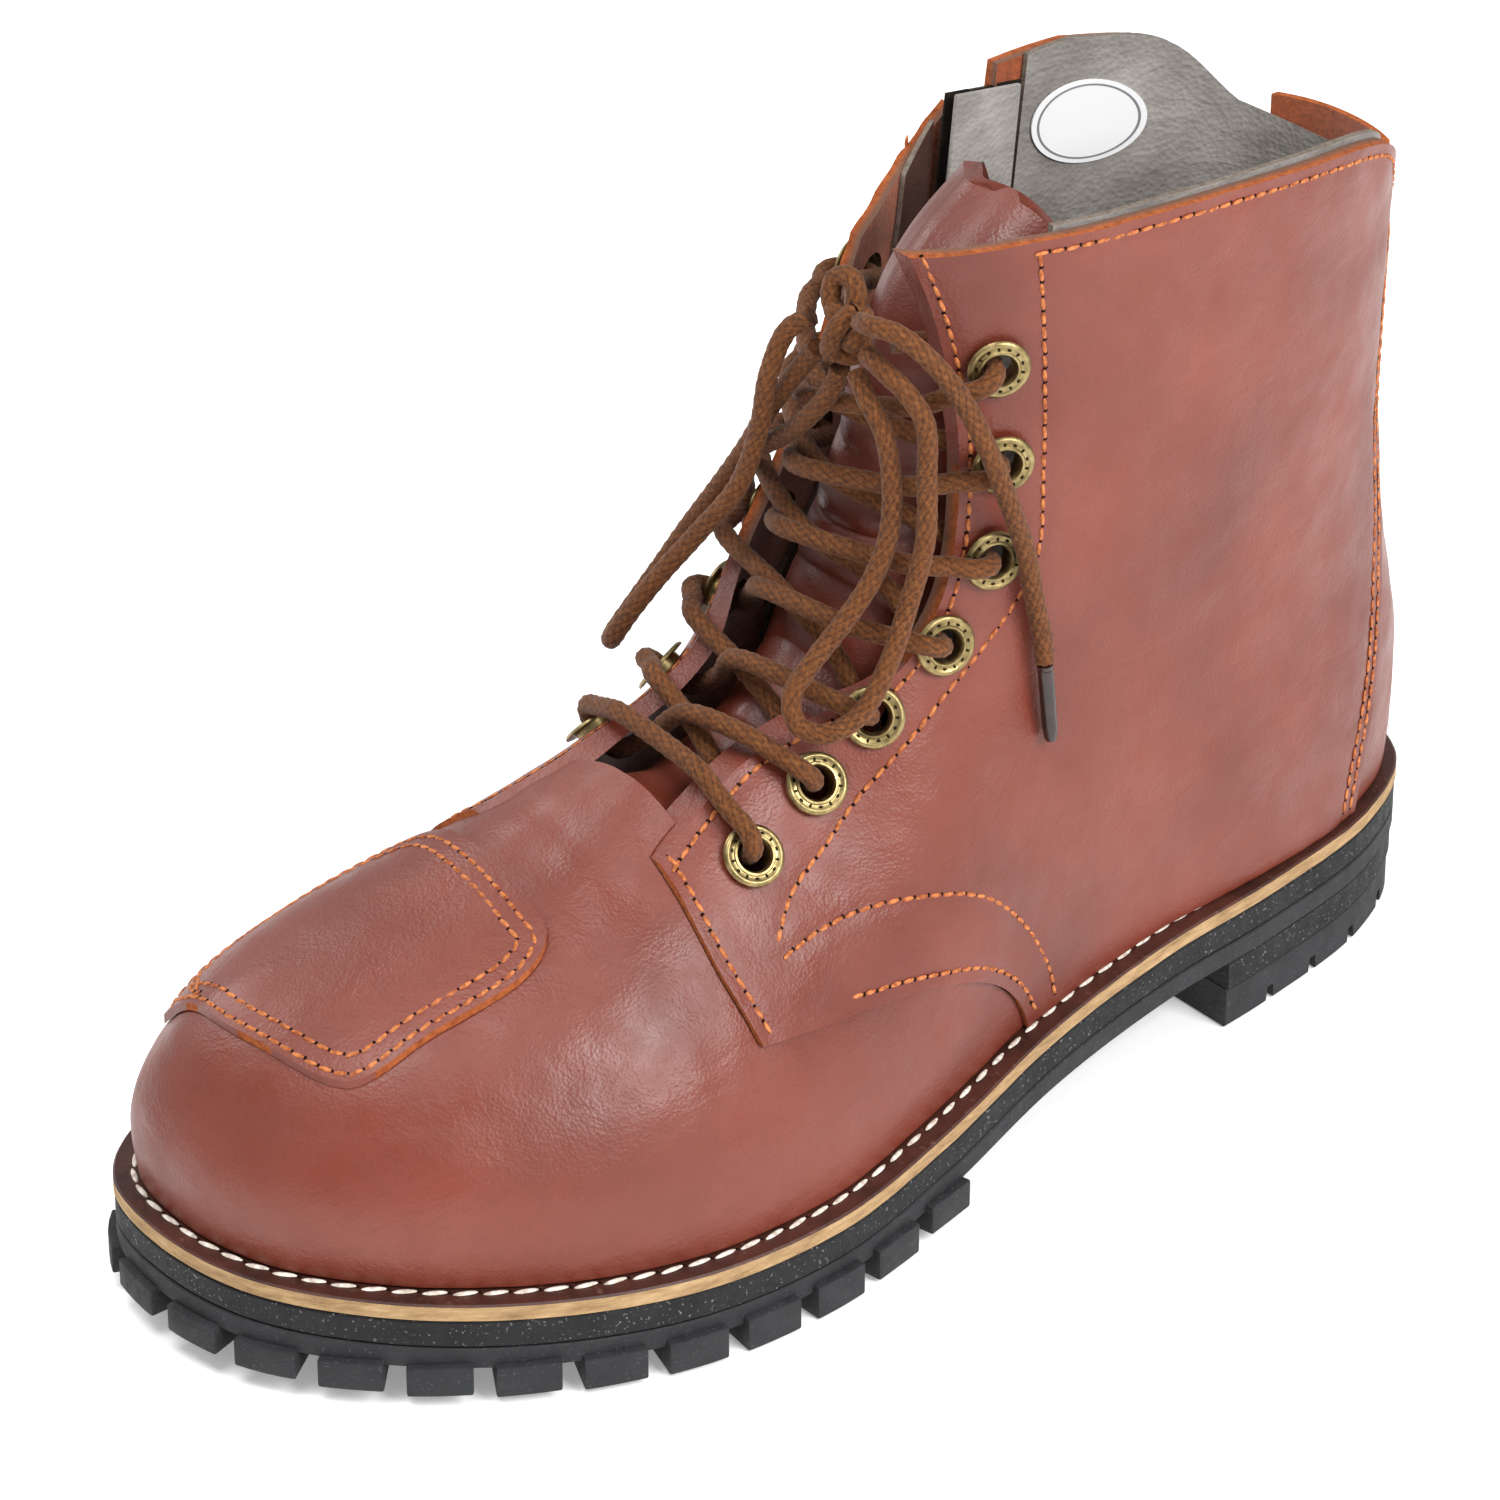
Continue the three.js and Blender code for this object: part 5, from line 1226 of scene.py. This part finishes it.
def tongue():
    """The leaf as a closed sheet of rows across the throat."""
    table = spline(TONGUE_ROWS, 20)
    rows = np.linspace(0, len(TONGUE_ROWS) - 1, len(table))
    x = np.linspace(*TONGUE_X, TONGUE_COLUMNS)
    u = np.linspace(-1, 1, TONGUE_COLUMNS)
    shape = (len(rows), TONGUE_COLUMNS)

    def along(values):
        return np.repeat(values, TONGUE_COLUMNS)

    lean = np.radians(table[:, 2])
    origin = np.column_stack([np.tile(x, len(rows)), along(table[:, 0]), along(table[:, 1])])
    way = np.column_stack([np.zeros(len(origin)), along(-np.cos(lean)), along(np.sin(lean))])
    p = leaves(origin, way)
    n = body_normal(p)
    n[:, 2] *= along(np.clip((9 - rows) / 2, 0, 1))
    n = unit(n)
    depth, shift = along(table[:, 3]), along(table[:, 4])
    thick = along(np.interp(rows, [0, 1], [TONGUE_EDGE, TONGUE_THICK]))
    side = np.tile(u, len(rows))
    ribbed = along(fade(rows, 2.5, 0.6) * np.clip((RIBS_TO - rows) / 0.5, 0, 1))
    ribbed *= np.clip((0.8 - np.abs(side)) / 0.08, 0, 1)
    rib = along(np.abs(np.sin(math.pi * (rows - RIBS_FROM) / RIB_PITCH)) ** 0.6)
    pad = ribbed * (1.1 * rib - 0.35)
    thin = np.clip((1 - np.abs(side)) / 0.06, 0.35, 1)
    crumple = 0.35 * wrinkle(p, 9, 6)
    front = p - n * (depth - pad - crumple + (1 - thin) * 1.4)[:, None]
    back = p - n * (depth + thick - (1 - thin) * 1.0)[:, None]
    high = along(fade(rows, 9, len(TONGUE_ROWS) - 10))
    for q in (front, back):
        q[:, 1] += shift
        q[:, 2] -= 14 * high * np.abs(side) ** 5
    front, back = (evened(q.reshape(*shape, 3)) for q in (front, back))
    ring = np.concatenate([front, back[:, ::-1], front[:, :1]], axis=1)
    bm = grid_mesh(ring, wrap_v=True, caps=True)
    obj = new_object("tongue_padded", bm, TONGUE.material, RAW_EDGE.material)
    shade(obj, 40)
    placed(obj, "tongue_leather", "tongue")


tongue()


# ---- Sole ----
WELT_WIDTH = 11
WELT_SEAM = 4.1
OUTLINE_STEPS = 360
midsole_foot = WELT_THICK + MIDSOLE_THICK
outsole_top = midsole_foot + GAP
outsole_foot = outsole_top + OUTSOLE_BODY
heel_top = outsole_foot + GAP


def below(drop):
    """A face that follows the welt's top, `drop` under it."""
    return lambda y: welt_top(y) - drop


def level(height):
    """A flat face at this height over the ground."""
    return lambda y: np.full(len(y), float(height))


def sole_band(name, levels, look, node, slot, keep=(), remove=(), add=()):
    """A layer of the sole: a stack of outlines, each with its inset and its height along the foot."""
    rings = []
    for inset, height in levels:
        ring = outline(inset, OUTLINE_STEPS)
        rings.append(np.column_stack([ring, height(ring[:, 1])]))
    points = np.stack(rings)
    points = np.concatenate([points, points[:, :1]], axis=1)
    obj = new_object(name, grid_mesh(points, wrap_v=True, caps=True), look.material)
    cut(obj, keep, "INTERSECT")
    cut(obj, remove, "DIFFERENCE")
    cut(obj, add, "UNION")
    painted(obj, look.material)
    shade(obj)
    placed(obj, slot, node)


def welt():
    """A flat leather strap round the upper: a dark top, and a raw tan edge with its corners taken off."""
    profile = [(WELT_WIDTH, WELT_THICK), (0.3, WELT_THICK), (0, WELT_THICK - 0.3), (0, 0.4), (0.4, 0),
               (WELT_WIDTH, 0)]
    bm = bmesh.new()
    corner = []
    for inset, drop in profile:
        ring = outline(inset, OUTLINE_STEPS)
        if inset < 1:
            wear = 0.12 * wrinkle(np.column_stack([ring, np.full(len(ring), drop * 6.0)]), 4, 8)
            ring = ring + wear[:, None] * 0.7
        groove = 0.35 * math.exp(-((inset - WELT_SEAM) / 0.8) ** 2)
        height = welt_top(ring[:, 1]) - drop - groove
        corner.append([bm.verts.new(p) for p in np.column_stack([ring, height])])
    for a, b in zip(corner, corner[1:] + corner[:1]):
        for k in range(OUTLINE_STEPS):
            after = (k + 1) % OUTLINE_STEPS
            bm.faces.new((a[k], a[after], b[after], b[k]))
    bmesh.ops.recalc_face_normals(bm, faces=bm.faces)
    for face in bm.faces:
        face.material_index = 1 if face.normal.z > 0.5 else 0
    obj = new_object("welt_strap", bm, WELT_SIDE.material, WELT_TOP.material)
    shade(obj)
    placed(obj, "welt_leather", "welt")


welt()
sole_band("rubber_midsole_band", [
    (0.55, below(midsole_foot)), (0.2, below(midsole_foot - 0.4)), (0.2, below(WELT_THICK + GAP + 0.4)),
    (0.55, below(WELT_THICK + GAP)),
], MIDSOLE, "rubber_midsole", "midsole_rubber")

# Lugs round the forefoot, and two rows of pads between them.
FLARE, LUG_RIM, LUGS, LUG_FIRST, LUG_PITCH, LUG_LONG = -1.6, 15, 11, 0.5, 3.4, 2.55
PADS, PAD_PITCH, PAD_FIRST_Y = 6, 19, -122


def plan_point(ring, k):
    a, b = ring[math.floor(k) % PLAN_STEPS], ring[(math.floor(k) + 1) % PLAN_STEPS]
    return a + (b - a) * (k - math.floor(k))


def lug(corners):
    """A block of tread from the ground up into the outsole, over a plan outline."""
    corners = np.array(corners)
    low = max(float(welt_top(corners[:, 1].mean())) - WELT_TOP_BALL, 0)
    bm = prism(corners, low, float(welt_top(corners[:, 1]).min()) - outsole_foot + 2, "Z")
    rim = [e for e in bm.edges if min(v.co.z for v in e.verts) < low + 0.1 or len(e.link_faces) == 2]
    outer = [e for e in rim if e.calc_face_angle(0) > 0.6]
    rounded(bm, outer, 0.45)
    bmesh.ops.recalc_face_normals(bm, faces=bm.faces)
    return bm


def forefoot_lugs():
    outer, inner = outline(FLARE, PLAN_STEPS), outline(LUG_RIM, PLAN_STEPS)
    rims, pads = [], []
    for side in SIDES.values():
        for i in range(LUGS):
            start = LUG_FIRST + i * LUG_PITCH
            steps = [side * (start + LUG_LONG * t) for t in (0, 0.25, 0.5, 0.75, 1)]
            back = [plan_point(inner, steps[-1]), plan_point(inner, steps[0])]
            rims.append(lug([plan_point(outer, k) for k in steps] + back))
        for i in range(PADS):
            x, y = -6 + side * 13, PAD_FIRST_Y + i * PAD_PITCH
            lean = side * 3
            pads.append(lug([(x - 9, y - 6), (x + 9, y - 6 + lean), (x + 9, y + 6), (x - 9, y + 6 - lean)]))
    return [joined(group) for group in (rims[::2], rims[1::2], pads[::2], pads[1::2])]


sole_band("outsole_tread", [
    (0.5, below(outsole_foot)), (0.2, below(outsole_foot - 0.3)), (0.2, below(outsole_top + 0.3)),
    (0.5, below(outsole_top)),
], OUTSOLE, "outsole", "outsole_rubber", add=forefoot_lugs())


def heel_box():
    return prism([(HEEL_BREAST_Y, -5), (200, -5), (200, 60), (HEEL_BREAST_Y, 60)], -80, 80, "X")


LIFT_FOOT = HEEL_BLOCK_HIGH + GAP
sole_band("heel_lift_layer", [
    (0.9, level(LIFT_FOOT)), (0.6, level(LIFT_FOOT + 0.35)), (0.6, below(heel_top + 0.35)),
    (0.9, below(heel_top)),
], MIDSOLE, "heel_lift", "midsole_rubber", keep=[heel_box()])
NOTCHES_Y = (91, 105, 119, 133)
NOTCH_DEEP = 3.6
notches = [prism([(y - 1.5, -1), (y + 1.5, -1), (y + 0.9, NOTCH_DEEP), (y - 0.9, NOTCH_DEEP)], -80, 80, "X")
           for y in NOTCHES_Y]
channel = [(-9, HEEL_BREAST_Y + 10), (9, HEEL_BREAST_Y + 10), (9, 128), (-9, 128)]
sole_band("heel_block_tread", [
    (1.4, level(0)), (1, level(0.5)), (1, level(HEEL_BLOCK_HIGH - 0.4)), (1.4, level(HEEL_BLOCK_HIGH)),
], OUTSOLE, "heel_block", "outsole_rubber", keep=[heel_box()], remove=[*notches, prism(channel, -1, 3, "Z")])

# ---- Eyelets: a rolled ring with a ring of small raised marks ----
RING_FOOT = QUARTER_OUT + GAP
EYELET_PROFILE = [
    (EYELET_HOLE, -1.4), (3.5, -1.9), (3.9, -1.9), (3.9, RING_FOOT), (6.0, RING_FOOT),
    (6.1, RING_FOOT + 0.15), (5.95, RING_FOOT + 0.5), (5.5, RING_FOOT + 0.8), (5.1, RING_FOOT + 0.78),
    (4.9, RING_FOOT + 0.62), (4.2, RING_FOOT + 0.62), (4.0, RING_FOOT + 0.86), (3.6, RING_FOOT + 0.9),
    (3.25, RING_FOOT + 0.5), (EYELET_HOLE, RING_FOOT - 0.2),
]
MARKS, MARK_RADIUS = 14, 4.55
for (side, row), (p, n) in PLACES.items():
    bits = [spun(EYELET_PROFILE, 40, closed=True)]
    for k in range(MARKS):
        dot = bmesh.new()
        bmesh.ops.create_uvsphere(dot, u_segments=8, v_segments=5, radius=0.3)
        for face in dot.faces:
            face.material_index = 1
        a = 2 * math.pi * k / MARKS
        bmesh.ops.scale(dot, verts=dot.verts, vec=(1.5 - 0.5 * (k % 2), 1 + 0.6 * (k % 2), 0.4))
        bmesh.ops.rotate(dot, verts=dot.verts, matrix=Matrix.Rotation(a, 3, "Z"))
        at = (MARK_RADIUS * math.cos(a), MARK_RADIUS * math.sin(a), RING_FOOT + 0.64)
        bmesh.ops.translate(dot, verts=dot.verts, vec=at)
        bits.append(dot)
    bm = stood_on(joined(bits), n, p)
    ring = new_object(f"eyelet_ring_{side}_{row}", bm, BRASS.material, BRASS_MARK.material)
    shade(ring, 40)
    placed(ring, "eyelet_brass", f"eyelet_{side}_{row}")

# ---- Side zip ----
# Local frame: x across towards the toe, y up along the zip, z outward.
ZIP_TOP_AT = np.array([-37, *ZIP_TOP])
ZIP_UP = ZIP_TOP_AT - np.array([-29.6, *ZIP_BOTTOM])
ZIP_LONG = float(np.linalg.norm(ZIP_UP))
ZIP_UP /= ZIP_LONG
ZIP_ACROSS = np.array([0, -1.0, 0]) + ZIP_UP * ZIP_UP[1]
ZIP_ACROSS /= np.linalg.norm(ZIP_ACROSS)
zip_axes = np.stack([ZIP_ACROSS, ZIP_UP, np.cross(ZIP_ACROSS, ZIP_UP)], axis=1)
ZIP_FRAME = Matrix(zip_axes.tolist()).to_4x4()
ZIP_FRAME.translation = ZIP_TOP_AT
TEETH, TOOTH_PITCH = 64, 2


def brick(x0, x1, y0, y1, z0, z1, bevel=0.15):
    """A box with its edges taken off."""
    bm = bmesh.new()
    bmesh.ops.create_cube(bm, size=1)
    bmesh.ops.scale(bm, verts=bm.verts, vec=(x1 - x0, y1 - y0, z1 - z0))
    bmesh.ops.translate(bm, verts=bm.verts, vec=((x0 + x1) / 2, (y0 + y1) / 2, (z0 + z1) / 2))
    rounded(bm, bm.edges[:], bevel)
    return bm


def zip_piece(name, bms, look, slot, node, body_name="boot"):
    whole = joined(bms)
    whole.transform(ZIP_FRAME)
    obj = new_object(name, whole, look.material)
    shade(obj, 40)
    placed(obj, slot, node, body_name=body_name)


for side, sign in (("front", 1), ("rear", -1)):
    xs = sorted((sign * 3.9, sign * 10))
    zip_piece(f"zip_tape_{side}_cloth", [brick(*xs, 4 - ZIP_LONG, 1, -0.3, 0.3, 0.1)], TAPE, "zip_tape",
              f"zip_tape_{side}")
    teeth = [brick(*sorted((sign * 3.6, sign * 4.05)), -ZIP_LONG + 8, 0, -0.9, 0.9, 0.2)]
    offset = 0.5 if sign > 0 else 1.5
    for k in range(TEETH):
        y = -offset - TOOTH_PITCH * k
        teeth.append(brick(*sorted((-sign * 0.55, sign * 3.7)), y - 0.5, y + 0.5, -0.75, 0.75, 0.15))
    zip_piece(f"zip_teeth_{side}_row", teeth, ZIP_METAL, "zip_metal", f"zip_teeth_{side}")
zip_piece("zip_stop_crimp", [brick(-3.2, 3.2, -133.3, -130.4, -1.6, 1.6, 0.4)], ZIP_METAL, "zip_metal",
          "zip_bottom_stop")
zip_piece("zip_guard_flap", [brick(-6, 11, 2 - ZIP_LONG, 2, -4.6, -3.4, 0.4)], LINING_LOOK, "lining_leather",
          "zip_guard")


def refined(node, look, name, body_name, slot):
    """A copy of a plain piece with its edges taken off."""
    bm = bmesh.new()
    bm.from_mesh(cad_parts[node].data)
    bmesh.ops.remove_doubles(bm, verts=bm.verts, dist=1e-6)
    bmesh.ops.dissolve_limit(bm, angle_limit=math.radians(2), verts=bm.verts, edges=bm.edges)
    sharp = [e for e in bm.edges if len(e.link_faces) == 2 and e.calc_face_angle(0) > math.radians(50)]
    rounded(bm, sharp, 0.14 * MM, clamp_overlap=True)
    obj = new_object(name, mesh_of(bm, name), look.material)
    shade(obj, 40)
    placed(obj, slot, node, body_name=body_name)


refined("zip_slider", ZIP_METAL, "zip_slider_body", "slider", "zip_metal")
refined("zip_pull", ZIP_METAL, "zip_pull_tab", "pull", "zip_metal")

# ---- Stitching ----
STITCH_PITCH, STITCH_LONG, STITCH_THICK = 3.1, 2.7, 0.9


def bead(u, v):
    """A small round bead, kept as a mesh to be placed many times."""
    bm = bmesh.new()
    bmesh.ops.create_uvsphere(bm, u_segments=u, v_segments=v, radius=0.5)
    return mesh_of(bm, "bead")


THREAD_BEAD, HOLE_SHADE_BEAD = bead(6, 8), bead(6, 4)


def place_bead(mesh, matrix, into):
    copy = mesh.copy()
    copy.transform(matrix)
    into.from_mesh(copy)
    bpy.data.meshes.remove(copy)


def stitch_row(points, normals, pitch, length, thick, lift, bm_thread, bm_hole_shade):
    """Lockstitches along a line of surface points: a plump thread between two dark beads of painted shade in
    the stitch holes.
    """
    run = run_along(points)
    count = int(run[-1] / pitch)

    def at_run(s, rows):
        return np.array([np.interp(s, run, rows[:, c]) for c in range(3)])

    for k in range(count):
        s = (k + 0.5) * run[-1] / count
        p, q, n = at_run(s, points), at_run(s + 0.5, points), at_run(s, normals)
        n /= np.linalg.norm(n)
        t = q - p
        if np.linalg.norm(t) < 1e-6:
            continue
        t = t - n * (t @ n)
        t /= np.linalg.norm(t)
        b = np.cross(n, t)
        slant = math.radians(random.uniform(3, 9))
        t, b = t * math.cos(slant) + b * math.sin(slant), b * math.cos(slant) - t * math.sin(slant)
        base = Matrix(np.stack([t, b, n], axis=1).tolist()).to_4x4()
        at = base.copy()
        at.translation = p + n * lift
        turn = Matrix.Rotation(math.pi / 2, 4, "Y")
        place_bead(THREAD_BEAD, at @ Matrix.Diagonal((length, thick, thick * 0.75, 1)) @ turn, bm_thread)
        # A flat dark bead between stitches, a little under the thread: painted shade in the stitch hole.
        hole_shade_at = base.copy()
        hole_shade_at.translation = p + t * pitch / 2 + n * (lift - 0.12)
        place_bead(HOLE_SHADE_BEAD, hole_shade_at @ Matrix.Diagonal((0.75, 1.05, 0.3, 1)), bm_hole_shade)


def stitches(name, threads, hole_shades, look, slot):
    """The two pieces of a set of stitches: its thread, and the dark beads of painted shade in the stitch
    holes between.
    """
    for ending, bm, finish in (("thread", threads, look), ("hole_shades", hole_shades, HOLE_SHADE)):
        bmesh.ops.recalc_face_normals(bm, faces=bm.faces)
        obj = new_object(f"{name}_{ending}", bm, finish.material)
        shade(obj, 60)
        placed(obj, slot)


threads, hole_shades = bmesh.new(), bmesh.new()
for side, lines in STITCHED.items():
    for line in lines:
        yz = resampled(line, max(3, int(length_of(line) / 1.5)))
        p, n = side_points(side, yz, QUARTER_OUT)
        keep = p[:, 2] > welt_top(p[:, 1]) + 2
        p, n = p[keep], n[keep]
        if len(p) > 3:
            stitch_row(p, n, STITCH_PITCH, STITCH_LONG, STITCH_THICK, -0.12, threads, hole_shades)
for inset in (-2.2, -5.2):
    ring = grown(patch_outline, inset)
    p, n = top_points(resampled(np.vstack([ring, ring[:1]]), 200), PATCH_OUT)
    stitch_row(p, n, STITCH_PITCH, STITCH_LONG, STITCH_THICK, 0.02, threads, hole_shades)
stitches("seam", threads, hole_shades, THREAD, "upper_leather")

threads, hole_shades = bmesh.new(), bmesh.new()
ring = outline(WELT_SEAM, OUTLINE_STEPS)
ring = np.vstack([ring, ring[:1]])
p = np.column_stack([ring, welt_top(ring[:, 1])])
n = np.tile([0.0, 0.0, 1.0], (len(p), 1))
stitch_row(p, n, 5.7, 4.9, 1.15, 0.1, threads, hole_shades)
stitches("welt", threads, hole_shades, WHITE_THREAD, "welt_leather")

# ---- Pieces kept as they are, with finishes of their own ----
for name, look in PLAIN_PIECES.items():
    painted(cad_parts[name], look.material)
